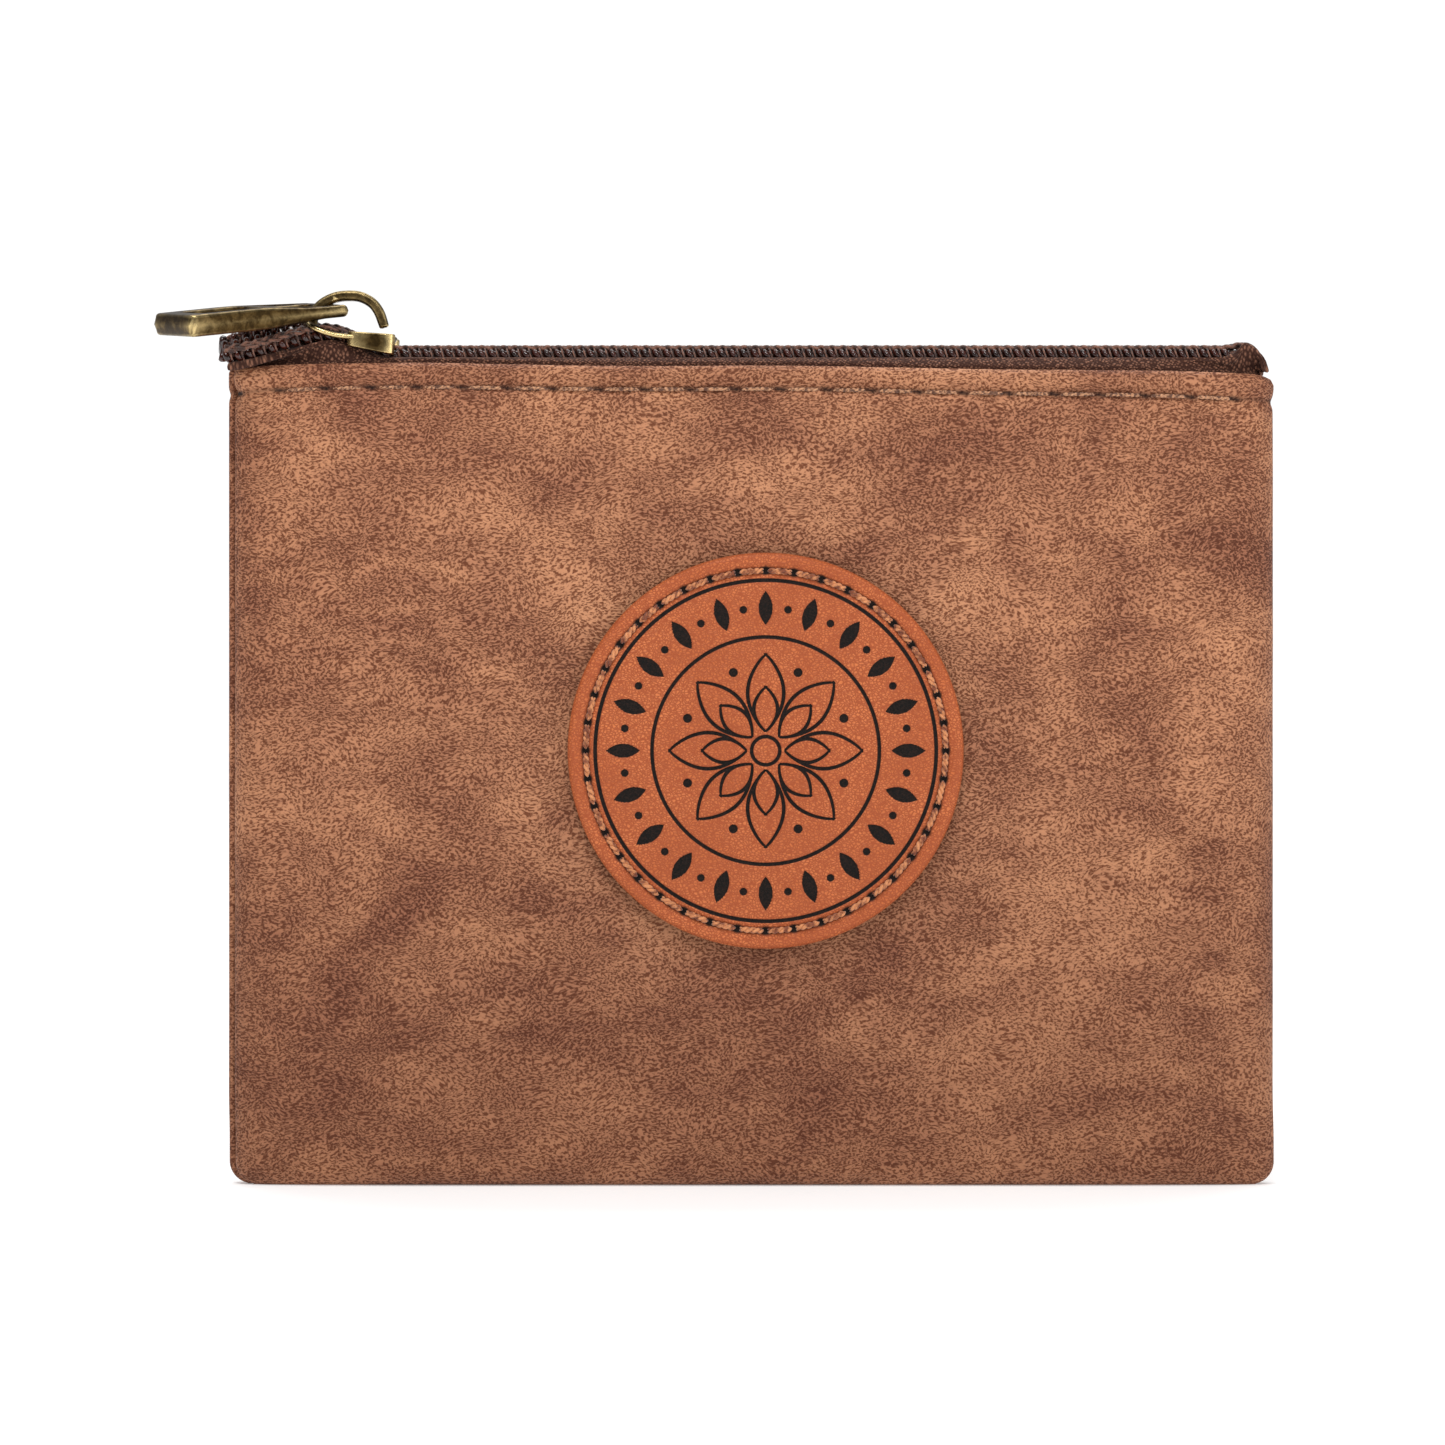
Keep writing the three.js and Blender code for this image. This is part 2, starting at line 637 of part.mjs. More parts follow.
const slider = mesh("slider_body", geometryOf(sliderBody()), ANTIQUE_BRASS);
slider.position.set(SLIDER_X, 0, COIL_BASE + COIL_HEIGHT / 2);
slider.rotation.y = SLIDER_PITCH;
pouch.add(slider);

const pullTab = mesh("pull_tab", geometryOf(pull()), ANTIQUE_BRASS);
pullTab.position.copy(PIVOT);
pullTab.rotation.set(PULL_ROLL, PULL_DECLINE, Math.PI + PULL_YAW, "ZYX");
pouch.add(pullTab);

pouch.add(
  mesh("badge", patch(), PATCH_LEATHER),
  mesh("badge_stitching", patchThread(), PATCH_YARN),
);

export default pouch;
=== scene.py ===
"""The looks of a small zipped pouch of mottled leatherette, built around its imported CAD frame."""
import json
import math

import bmesh
import bpy
import numpy as np
from mathutils import Matrix, Vector, noise


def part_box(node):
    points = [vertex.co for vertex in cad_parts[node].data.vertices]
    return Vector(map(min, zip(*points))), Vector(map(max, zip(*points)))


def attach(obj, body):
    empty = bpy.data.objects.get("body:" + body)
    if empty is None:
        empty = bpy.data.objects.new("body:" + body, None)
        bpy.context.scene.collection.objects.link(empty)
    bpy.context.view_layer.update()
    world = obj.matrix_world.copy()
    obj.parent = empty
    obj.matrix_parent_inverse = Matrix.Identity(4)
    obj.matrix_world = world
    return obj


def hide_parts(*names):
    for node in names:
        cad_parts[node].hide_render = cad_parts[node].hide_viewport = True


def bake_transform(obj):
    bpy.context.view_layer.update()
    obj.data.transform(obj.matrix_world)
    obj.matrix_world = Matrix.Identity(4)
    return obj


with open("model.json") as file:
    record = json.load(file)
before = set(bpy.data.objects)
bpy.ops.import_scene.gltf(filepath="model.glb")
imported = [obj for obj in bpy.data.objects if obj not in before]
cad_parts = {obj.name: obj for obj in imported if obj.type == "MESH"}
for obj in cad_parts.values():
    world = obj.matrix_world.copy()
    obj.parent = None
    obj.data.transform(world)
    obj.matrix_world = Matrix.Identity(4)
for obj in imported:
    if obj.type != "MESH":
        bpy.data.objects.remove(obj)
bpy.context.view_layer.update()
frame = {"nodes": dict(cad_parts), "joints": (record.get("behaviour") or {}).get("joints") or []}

MM = 0.001
FRONT, BACK = -1, 1
TAU = 2 * math.pi

# ---------- sizes, in millimetres, some of them taken from the CAD frame ---

panel_low, panel_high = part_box("front_panel")
HALF_WIDTH = max(-panel_low.x, panel_high.x) / MM
HEIGHT = panel_high.z / MM
FRONT_HALVES = (59.2, 60.0)
BACK_HALVES = (60.0, 59.8)
BASE_DEPTH = 5.2
TOP_DEPTH = 6.0
BULGE = 2.0
SIDE_POWER = 8
BASE_ROUND = 2.4
CORNER_ROUND = 2.6
SEAM_INSETS = (2.0, 0.0)
LEATHER = 1.1
RIM = LEATHER / 2
HEM_THICKNESS = 1.7
HEM_STITCH_DEPTH = 3.35
TOP_STITCH = 5.2
GROOVE = 0.34
SEEDS = {FRONT: 0.35, BACK: 0.8}

COIL_PITCH = 1.256
COIL_HEIGHT = 1.55
COIL_MIDDLE = HEIGHT + 0.22
COIL_OUTER = 2.75
COIL_HEAD = 0.55
COIL_RADIUS = 0.37
COIL_RIGHT = 57.3
ZIP_RIGHT = 58.9
ZIP_LEFT = {FRONT: -60.6, BACK: -61.9}
TAPE_LEFT = {FRONT: -59.6, BACK: -61.2}
TAPE_THICKNESS = 0.42
STRAIGHT_TO = 53.9
TAPE_PIVOT_OUT, TAPE_PIVOT_DOWN = 3.1, -1.0

badge_low, badge_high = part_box("badge")
BADGE_X = (badge_low.x + badge_high.x) / 2 / MM
BADGE_Z = (badge_low.z + badge_high.z) / 2 / MM
BADGE_FACE = -badge_low.y / MM
BADGE_THICKNESS = 1.32
BADGE_FLAT_RADIUS = 21.9
BADGE_EDGE_ROUND = 0.6
PATCH_STITCHES = 40
PATCH_THREAD_RADIUS = 20.45

joint_named = {joint["name"]: joint for joint in frame["joints"]}
PIVOT = Vector(joint_named["pull_swing"]["pos_m"]) / MM
PULL_LENGTH = 20.3
PULL_HALF_WIDTH = 4.3
PULL_THICKNESS = 2.5
PULL_YAW = math.radians(36)
PULL_DECLINE = math.radians(7.5)
PULL_ROLL = math.radians(-5)
PULL_SHIFT = 1.4
PULL_OUT = 0.35
slider_low, slider_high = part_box("slider_body")
SLIDER_X = (slider_low.x + slider_high.x) / 2 / MM + 0.1
SLIDER_HEIGHT = 95.1
SLIDER_PITCH = math.radians(3.5)
UPPER_PLATE_HEIGHT = 2.62
LOWER_PLATE_HEIGHT = -1.7

MOUTH_LEFT, MOUTH_FLAT_LEFT = -58.0, -24.0
MOUTH_RIGHT, MOUTH_FLAT_RIGHT = 50.0, 25.0


def add_object(name, data):
    obj = bpy.data.objects.new(name, data)
    bpy.context.scene.collection.objects.link(obj)
    return obj


# ---------- camera ----------

def add_camera():
    """A level view from in front, centred a little left of the pouch's middle."""
    data = bpy.data.cameras.new("camera")
    data.lens = 135
    data.sensor_width = 36
    data.clip_start = 0.01
    camera = add_object("camera", data)
    camera.location = (-0.0033, -0.624, 0.053)
    camera.rotation_euler = (math.pi / 2, 0, 0)
    bpy.context.scene.camera = camera


add_camera()


# ---------- shader nodes ----------

def srgb(red, green, blue):
    """A linear colour from 0 to 255 display values."""
    def linear(value):
        value /= 255
        return value / 12.92 if value <= 0.04045 else ((value + 0.055) / 1.055) ** 2.4
    return (linear(red), linear(green), linear(blue), 1)


class Shader:
    """A material with a principled shader, and short ways to add the nodes that feed it."""

    def __init__(self, name, roughness=0.6, metallic=0.0, specular=0.5):
        self.material = bpy.data.materials.new(name)
        self.material.use_nodes = True
        self.nodes = self.material.node_tree.nodes
        self.links = self.material.node_tree.links
        self.nodes.clear()
        output = self.nodes.new("ShaderNodeOutputMaterial")
        self.surface = self.nodes.new("ShaderNodeBsdfPrincipled")
        self.set("Roughness", roughness)
        self.set("Metallic", metallic)
        self.set("Specular IOR Level", specular)
        self.links.new(self.surface.outputs["BSDF"], output.inputs["Surface"])

    def set(self, socket, value):
        """Gives a socket of the surface one value all over."""
        self.surface.inputs[socket].default_value = value

    def feed(self, socket, value):
        """Links a socket to another node's output, or sets its value."""
        if isinstance(value, bpy.types.NodeSocket):
            self.links.new(value, socket)
        else:
            socket.default_value = value

    def node(self, kind, sockets=None, **settings):
        """A new node with its settings made and its sockets set or linked."""
        node = self.nodes.new("ShaderNode" + kind)
        for key, value in settings.items():
            setattr(node, key, value)
        for socket, value in (sockets or {}).items():
            self.feed(node.inputs[socket], value)
        return node.outputs

    def place(self):
        """The rest position of a point in millimetres, stored on the mesh."""
        return self.node("Attribute", attribute_name="rest")["Vector"]

    def object_place(self):
        """The position in millimetres on a piece that never bends."""
        return self.scaled(self.node("TexCoord")["Object"], (1 / MM, 1 / MM, 1 / MM))

    def value(self, attribute):
        return self.node("Attribute", attribute_name=attribute)["Fac"]

    def scaled(self, vector, scale, angle=0.0):
        sockets = {"Scale": scale, "Rotation": (0, 0, angle), "Vector": vector}
        return self.node("Mapping", sockets)["Vector"]

    def noise(self, vector, scale, detail=2.0, roughness=0.5, distortion=0.0):
        sockets = {"Scale": scale, "Detail": detail, "Roughness": roughness, "Distortion": distortion,
                   "Vector": vector}
        return self.node("TexNoise", sockets)["Fac"]

    def noise_colour(self, vector, scale):
        """Three noises at once, one in each channel."""
        return self.node("TexNoise", {"Scale": scale, "Detail": 1.0, "Vector": vector})["Color"]

    def cells(self, vector, scale, feature="DISTANCE_TO_EDGE", randomness=1.0):
        sockets = {"Scale": scale, "Randomness": randomness, "Vector": vector}
        return self.node("TexVoronoi", sockets, feature=feature)["Distance"]

    def math(self, operation, first, second=0.0):
        return self.node("Math", {0: first, 1: second}, operation=operation)["Value"]

    def plus(self, first, second):
        return self.math("ADD", first, second)

    def times(self, first, second):
        return self.math("MULTIPLY", first, second)

    def moved(self, vector, shift):
        return self.node("VectorMath", {0: vector, 1: shift}, operation="ADD")["Vector"]

    def stretched(self, vector, factors):
        return self.node("VectorMath", {0: vector, 1: factors}, operation="MULTIPLY")["Vector"]

    def split(self, vector):
        outputs = self.node("SeparateXYZ", {0: vector})
        return outputs["X"], outputs["Y"], outputs["Z"]

    def spread(self, value, low, high, to_low=0.0, to_high=1.0):
        """Maps low..high to to_low..to_high smoothly, and holds the ends."""
        sockets = {"Value": value, "From Min": low, "From Max": high, "To Min": to_low, "To Max": to_high}
        return self.node("MapRange", sockets, interpolation_type="SMOOTHSTEP")["Result"]

    def mix(self, factor, first, second):
        """A blend of two colours."""
        return self.node("Mix", {"Factor": factor, 6: first, 7: second}, data_type="RGBA")[2]

    def pointiness(self):
        return self.node("NewGeometry")["Pointiness"]

    def bump(self, height, depth):
        """depth is the relief in millimetres between heights 0 and 1."""
        return self.node("Bump", {"Strength": 1, "Distance": depth * MM, "Height": height})["Normal"]

    def finish(self, colour, roughness=None, normal=None):
        """Feeds the surface, and returns the finished material."""
        for socket, value in (("Base Color", colour), ("Roughness", roughness), ("Normal", normal)):
            if value is not None:
                self.feed(self.surface.inputs[socket], value)
        return self.material


# ---------- materials ----------

def leatherette():
    """Matt grained leatherette: short dark wrinkles in a net of lighter skin, mottled in soft clouds."""
    s = Shader("leatherette", roughness=0.62, specular=0.22)
    place = s.place()
    drift = s.moved(s.noise_colour(place, 0.16), (-0.5, -0.5, -0.5))
    wander = s.stretched(drift, (3.0, 3.0, 0.8))
    skewed = s.scaled(s.moved(place, wander), (1.0, 1.6, 1.0), -0.6)
    wrinkles = s.noise(skewed, 2.9, detail=1.5, roughness=0.5, distortion=0.35)
    cloud = s.spread(s.noise(place, 0.045, detail=4.0, roughness=0.55, distortion=0.9), 0.34, 0.66)
    slanting = s.scaled(place, (0.55, 1.3, 1.0), -0.75)
    brushed = s.noise(slanting, 0.10, detail=6.0, roughness=0.64, distortion=0.9)
    rubbed = s.spread(brushed, 0.36, 0.66)
    lightness = s.plus(s.times(cloud, 0.55), s.times(rubbed, 0.45))
    lifted = s.plus(wrinkles, s.times(s.math("SUBTRACT", lightness, 0.5), 0.07))
    skin = s.spread(lifted, 0.38, 0.60)
    dark = s.mix(lightness, srgb(86, 45, 28), srgb(116, 66, 41))
    light = s.mix(lightness, srgb(152, 97, 71), srgb(194, 136, 99))
    colour = s.mix(skin, dark, light)
    # Painted shade: the colour darkens towards the bottom of the wall, from about 62 mm down.
    _, height, _ = s.split(place)
    painted_bottom_shade = s.spread(height, 4.0, 62.0, 0.22, 0.0)
    colour = s.mix(painted_bottom_shade, colour, srgb(70, 36, 22))
    colour = s.mix(s.value("shade"), colour, srgb(30, 13, 8))
    normal = s.bump(skin, 0.07)
    roughness = s.spread(skin, 0.0, 1.0, 0.76, 0.60)
    s.set("Sheen Weight", 0.03)
    s.set("Sheen Roughness", 0.5)
    return s.finish(colour, roughness, normal)


def patch_leather():
    """Smooth tan leather with a fine pebbled grain and engraving darkened by burning, with painted shade in
    the stitch groove and a darker cut edge, partly its own colour and partly painted shade.
    """
    s = Shader("patch_leather", roughness=0.5, specular=0.25)
    place = s.place()
    wander = s.stretched(s.noise_colour(place, 0.9), (0.6, 0.6, 0.6))
    pebble = s.cells(s.scaled(s.moved(place, wander), (1.0, 1.35, 1.0), 0.4), 2.6)
    grain = s.spread(pebble, 0.02, 0.3)
    fibre = s.noise(place, 4.5, detail=3.0, roughness=0.6)
    tone = s.noise(place, 0.12, detail=3.0)
    base = s.mix(s.spread(tone, 0.35, 0.65), srgb(190, 101, 53), srgb(209, 119, 68))
    colour = s.mix(s.times(grain, s.spread(fibre, 0.3, 0.7, 0.6, 1.0)), srgb(158, 76, 40), base)
    # The engraving's own dark colour from burning, plus painted shade in the stitch groove and holes; the
    # turned edge is partly its own darker colour and partly painted shade.
    scorch_and_shade = s.value("scorch_and_shade")
    char_and_shade = s.mix(s.spread(fibre, 0.4, 0.65), srgb(8, 5, 3), srgb(32, 18, 12))
    colour = s.mix(s.spread(scorch_and_shade, 0.25, 0.7), colour, char_and_shade)
    height = s.plus(s.times(grain, 0.7), s.times(fibre, 0.3))
    roughness = s.spread(scorch_and_shade, 0.2, 0.8, 0.48, 0.8)
    return s.finish(colour, roughness, s.bump(height, 0.05))


def antique_brass():
    """Dark patinated brass, rubbed bright where edges and corners wear."""
    s = Shader("antique_brass", roughness=0.36, metallic=1.0)
    place = s.object_place()
    patches = s.noise(place, 0.9, detail=5.0, roughness=0.65, distortion=0.4)
    speckle = s.noise(place, 7.0, detail=3.0, roughness=0.7)
    patina = s.mix(s.spread(patches, 0.35, 0.68), srgb(50, 38, 20), srgb(84, 65, 36))
    patina = s.mix(s.times(s.spread(speckle, 0.5, 0.72), 0.5), patina, srgb(26, 18, 10))
    worn = s.plus(s.pointiness(), s.times(s.math("SUBTRACT", patches, 0.5), 0.03))
    wear = s.spread(worn, 0.512, 0.57)
    colour = s.mix(wear, patina, srgb(226, 200, 142))
    roughness = s.plus(s.spread(wear, 0.0, 1.0, 0.30, 0.20), s.spread(speckle, 0.4, 0.7, 0.0, 0.10))
    return s.finish(colour, roughness, s.bump(s.plus(patches, speckle), 0.02))


def nylon():
    """Glossy dark red-brown monofilament."""
    s = Shader("nylon_monofilament", roughness=0.1, specular=0.5)
    place = s.place()
    tone = s.noise(place, 1.4, detail=2.0)
    colour = s.mix(s.spread(tone, 0.35, 0.65), srgb(32, 11, 7), srgb(66, 27, 18))
    s.set("Coat Weight", 0.05)
    s.set("Coat Roughness", 0.12)
    scratches = s.noise(place, 6.0, detail=2.0)
    return s.finish(colour, s.spread(tone, 0.3, 0.7, 0.07, 0.14), s.bump(scratches, 0.004))


def woven(name, dark, light, pitch, sheen):
    """A twill of threads, pitch millimetres apart, laid out by the stored rest coordinates."""
    s = Shader(name, roughness=0.85, specular=0.2)
    place = s.place()
    jitter = s.stretched(s.noise_colour(place, 1.3), (0.3, 0.22, 0.0))
    slanted = s.scaled(s.moved(place, jitter), (1.0, 1.3, 1.0), 0.5)
    knuckles = s.cells(slanted, 1 / pitch, "F1", 0.55)
    over = s.spread(knuckles, 0.62, 0.12)
    fuzz = s.noise(place, 5.0, detail=3.0, roughness=0.7)
    colour = s.mix(over, dark, light)
    colour = s.mix(s.times(s.spread(fuzz, 0.45, 0.7), 0.6), colour, dark)
    height = s.plus(over, s.times(fuzz, 0.3))
    s.set("Sheen Weight", sheen)
    return s.finish(colour, None, s.bump(height, 0.12))


def yarn(name, dark, light, twist=2.4, bends=True):
    """Twisted sewing thread, its colour swung by a noise from painted shade in the grooves between plies to
    bright plies with painted highlight.
    """
    s = Shader(name, roughness=0.55, specular=0.4)
    place = s.place() if bends else s.object_place()
    fibres = s.noise(s.scaled(place, (0.6, 3.0, 3.0)), 5.0, detail=3.0, roughness=0.6)
    # Painted shade and painted highlight: the noise stands for dark grooves and lit plies.
    ply = s.spread(s.noise(place, twist, detail=2.0), 0.38, 0.62)
    colour = s.mix(ply, dark, light)
    colour = s.mix(s.times(fibres, 0.4), colour, dark)
    s.set("Sheen Weight", 0.25)
    return s.finish(colour, None, s.bump(fibres, 0.05))


def padding():
    """Pale needled padding, hidden between the leatherette and the lining."""
    s = Shader("padding", roughness=0.95, specular=0.1)
    place = s.object_place()
    felt = s.noise(place, 2.2, detail=5.0, roughness=0.7)
    colour = s.mix(s.spread(felt, 0.35, 0.65), srgb(168, 160, 146), srgb(205, 199, 188))
    return s.finish(colour, None, s.bump(felt, 0.2))


LEATHERETTE = leatherette()
PATCH_LEATHER = patch_leather()
BRASS = antique_brass()
NYLON = nylon()
TAPE_CLOTH = woven("woven_zip_tape", srgb(58, 32, 23), srgb(152, 106, 84), 0.36, 0.05)
LINING_CLOTH = woven("lining_cloth", srgb(44, 30, 24), srgb(86, 62, 51), 0.4, 0.35)
TOP_YARN = yarn("top_yarn", srgb(92, 54, 34), srgb(216, 160, 118), 2.6)
PATCH_YARN = yarn("patch_yarn", srgb(124, 60, 28), srgb(226, 150, 96), 1.2)
COIL_YARN = yarn("coil_yarn", srgb(58, 33, 25), srgb(138, 92, 72), 1.6)
SEAM_YARN = yarn("seam_yarn", srgb(84, 50, 36), srgb(140, 92, 68), bends=False)
PADDING = padding()


# ---------- meshes ----------

def shade_smooth(mesh):
    mesh.polygons.foreach_set("use_smooth", [True] * len(mesh.polygons))


def edit_mesh(mesh, change):
    """Makes a change on an editable copy of a mesh, and writes it back."""
    edit = bmesh.new()
    edit.from_mesh(mesh)
    change(edit)
    edit.to_mesh(mesh)
    edit.free()


def texture_place(points):
    """Texture coordinates of points on a wall: across, up, through."""
    return points[:, [0, 2, 1]]


def add_mesh(name, points, faces, material, rest=None, values=None):
    """An object from points in millimetres, with its texture place and other values stored on its points."""
    points = np.asarray(points, float)
    mesh = bpy.data.meshes.new(name)
    mesh.from_pydata((points * MM).tolist(), [], [list(map(int, face)) for face in faces])
    shade_smooth(mesh)
    mesh.materials.append(material)
    place = mesh.attributes.new("rest", "FLOAT_VECTOR", "POINT")
    place.data.foreach_set("vector", np.asarray(points if rest is None else rest, np.float32).ravel())
    for key, value in (values or {}).items():
        layer = mesh.attributes.new(key, "FLOAT", "POINT")
        layer.data.foreach_set("value", np.asarray(value, np.float32).ravel())
    mesh.update()
    return add_object(name, mesh)


def grid_faces(rows, columns, start=0, flip=False):
    """Quads between the points of a grid, row by row."""
    i, j = np.meshgrid(np.arange(rows - 1), np.arange(columns - 1), indexing="ij")
    a = (i * columns + j).ravel() + start
    quads = np.stack([a, a + 1, a + columns + 1, a + columns], 1)
    return quads[:, ::-1] if flip else quads


def grid_normals(points):
    """Unit normals of a grid of points, along columns crossed with rows."""
    along_rows = np.gradient(points, axis=0)
    along_columns = np.gradient(points, axis=1)
    return unit(np.cross(along_columns, along_rows))


def unit(vectors):
    return vectors / np.maximum(np.linalg.norm(vectors, axis=-1, keepdims=True), 1e-9)


def grid_border(rows, columns):
    """Row and column numbers of a grid's border points, in order round it."""
    across, up = np.arange(columns), np.arange(1, rows)
    i = np.concatenate([0 * across, up, 0 * across[1:] + rows - 1, up[-2::-1]])
    j = np.concatenate([across, 0 * up + columns - 1, across[-2::-1], 0 * up[1:]])
    return i, j


def away_from_grid(grid, i, j):
    """Unit directions that carry on past the border of a grid, at its points i, j."""
    out = np.zeros((len(i), 3))
    out += np.where((i == 0)[:, None], unit(grid[0] - grid[1])[j], 0)
    out += np.where((i == len(grid) - 1)[:, None], unit(grid[-1] - grid[-2])[j], 0)
    out += np.where((j == 0)[:, None], unit(grid[:, 0] - grid[:, 1])[i], 0)
    out += np.where((j == grid.shape[1] - 1)[:, None], unit(grid[:, -1] - grid[:, -2])[i], 0)
    return unit(out)


def shell(outer, thickness, steps=3):
    """Points and faces of a closed sheet with round rims, from a grid of points on its outer side.

    Extra rows and columns carry the sheet round each border on a half circle, to a second grid inside."""
    rows, columns = outer.shape[:2]
    normal = grid_normals(outer)
    thick = np.broadcast_to(np.asarray(thickness, float), (rows, columns))[..., None]
    inner = outer - normal * thick
    i, j = grid_border(rows, columns)
    out = away_from_grid(outer, i, j)
    centre = (outer[i, j] + inner[i, j]) / 2
    radius = thick[i, j] / 2
    loops = []
    for step in range(1, steps + 1):
        angle = math.pi * step / (steps + 1)
        loops.append(centre + normal[i, j] * radius * math.cos(angle) + out * radius * math.sin(angle))
    points = np.concatenate([outer.reshape(-1, 3), inner.reshape(-1, 3), *loops])
    faces = [grid_faces(rows, columns), grid_faces(rows, columns, rows * columns, flip=True)]
    outer_ring = i * columns + j
    chain = [outer_ring]
    chain += [2 * rows * columns + step * len(i) + np.arange(len(i)) for step in range(steps)]
    chain.append(outer_ring + rows * columns)
    for first, second in zip(chain, chain[1:]):
        faces.append(np.stack([np.roll(first, -1), first, second, np.roll(second, -1)], 1))
    source = np.concatenate([np.arange(rows * columns)] * 2 + [outer_ring] * steps)
    return points, np.concatenate(faces), source


def tube_faces(count, sides, closed_end=True):
    """Faces between count rings of points, with a cap at the start and, if asked, one at the end."""
    i = np.arange(count - 1)[:, None]
    j = np.arange(sides)[None, :]
    beside = (j + 1) % sides
    quads = np.stack([i * sides + j, i * sides + beside, (i + 1) * sides + beside, (i + 1) * sides + j], -1)
    faces = quads.reshape(-1, 4).tolist()
    faces.append(list(range(sides))[::-1])
    if closed_end:
        faces.append([(count - 1) * sides + k for k in range(sides)])
    return faces


def sweep(path, radius, sides=8):
    """Points and faces of a round tube along a path, with flat ends."""
    path = np.asarray(path, float)
    count = len(path)
    tangent = unit(np.gradient(path, axis=0))
    start = np.array([0.0, 0.0, 1.0])
    if abs(tangent[0] @ start) > 0.9:
        start = np.array([0.0, 1.0, 0.0])
    normal = unit(start - tangent[0] * (tangent[0] @ start))
    normals = [normal]
    for t in tangent[1:]:
        normal = normal - t * (t @ normal)
        normal = normal / np.linalg.norm(normal)
        normals.append(normal)
    normals = np.array(normals)
    sideways = np.cross(tangent, normals)
    angles = np.arange(sides) / sides * TAU
    radius = np.broadcast_to(np.asarray(radius, float), count)[:, None, None]
    cosines, sines = np.cos(angles)[None, :, None], np.sin(angles)[None, :, None]
    ring = normals[:, None] * cosines + sideways[:, None] * sines
    return (path[:, None] + ring * radius).reshape(-1, 3), tube_faces(count, sides)


def curve_point(knots, share):
    """A point of the smooth curve through knots, share counting the knots from 0."""
    low = min(int(share), len(knots) - 2)
    t = share - low
    before, after = knots[max(low - 1, 0)], knots[min(low + 2, len(knots) - 1)]
    p0, p1 = knots[low], knots[low + 1]
    return 0.5 * (2 * p0 + (p1 - before) * t + (2 * before - 5 * p0 + 4 * p1 - after) * t * t
                  + (3 * p0 - before - 3 * p1 + after) * t ** 3)


def joined(parts):
    """One list of points and faces from several."""
    points, faces, start = [], [], 0
    for part_points, part_faces in parts:
        points.append(np.asarray(part_points))
        faces += [[int(index) + start for index in face] for face in part_faces]
        start += len(part_points)
    return np.concatenate(points), faces


def read_values(collection, key, kind=np.float32, width=1):
    """One value, or a row of them, for each item of a mesh's collection."""
    values = np.zeros(len(collection) * width, kind)
    collection.foreach_get(key, values)
    return values.reshape(-1, width)


def keep_side(obj, name, side):
    """A copy of a piece with only the faces left (-1) or right (1) of the middle, shaded as the whole was."""
    mesh = obj.data
    normals = read_values(mesh.corner_normals, "vector", width=3)
    wanted = read_values(mesh.polygons, "center", width=3)[:, 0] * side > 0
    totals = read_values(mesh.polygons, "loop_total", np.int32)[:, 0]
    half = add_object(name, mesh.copy())
    half.data.name = name

    def delete_unwanted(edit):
        edit.faces.ensure_lookup_table()
        unwanted = [edit.faces[i] for i in np.flatnonzero(~wanted)]
        bmesh.ops.delete(edit, geom=unwanted, context="FACES")

    edit_mesh(half.data, delete_unwanted)
    half.data.normals_split_custom_set(normals[np.repeat(wanted, totals)].tolist())
    return half


def hang_on_front(obj, replaced):
    """Splits a piece of the front wall at the middle into a left and a right half, each shaded as the whole
    was.

    The halves stand in place of the CAD nodes, which are hidden, and the whole piece is removed."""
    ends = ((-1, "left", MOUTH_LEFT, MOUTH_FLAT_LEFT), (1, "right", MOUTH_RIGHT, MOUTH_FLAT_RIGHT))
    for side, label, start, end in ends:
        half = keep_side(obj, obj.name + "_" + label, side)
        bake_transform(half)
        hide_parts(*replaced)
    bpy.data.objects.remove(obj)


def hang_on(obj, body, replaced):
    """Makes a piece ride on a body in the place of its CAD nodes."""
    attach(obj, body)
    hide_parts(*replaced)


# ---------- shape of the pouch ----------

def smooth(t):
    """0 to 1 along an S curve, held at both ends."""
    t = np.clip(t, 0, 1)
    return t * t * (3 - 2 * t)


def half_depth(z):
    """Distance of a wall's outer face from the middle plane, at height z."""
    t = np.clip(z / HEIGHT, 0, 1)
    return BASE_DEPTH + (TOP_DEPTH - BASE_DEPTH) * t + BULGE * 4 * t * (1 - t)


def rounding(z, radius):
    """How far an edge of this radius at the base draws in at height z."""
    below = np.clip(1 - z / radius, 0, 1)
    return radius * (1 - np.sqrt(np.maximum(0, 1 - below * below)))


def top_edge(x):
    """Height of the panels' top edge: falling gently to the right, and turned down at both ends."""
    share = x / HALF_WIDTH
    ends = 0.5 * np.clip(-share, 0, 1) ** 8 + 0.3 * np.clip(share, 0, 1) ** 4
    return HEIGHT - 0.93 - 0.55 * share - ends + 0.08 * np.sin(x / 7.0 + 0.8)


def stitch_line(x):
    """Height of the top stitching."""
    return top_edge(x) - HEM_STITCH_DEPTH + 0.35 * (1 - np.abs(x / HALF_WIDTH) ** 2)


def ripples(x, z, seed):
    """A small signed relief of soft waves."""
    flat_x, flat_z = np.ravel(x), np.ravel(z)
    values = [noise.noise(Vector((a * 0.055 + seed, b * 0.05, seed * 0.7))) for a, b in zip(flat_x, flat_z)]
    return np.array(values).reshape(np.shape(x))


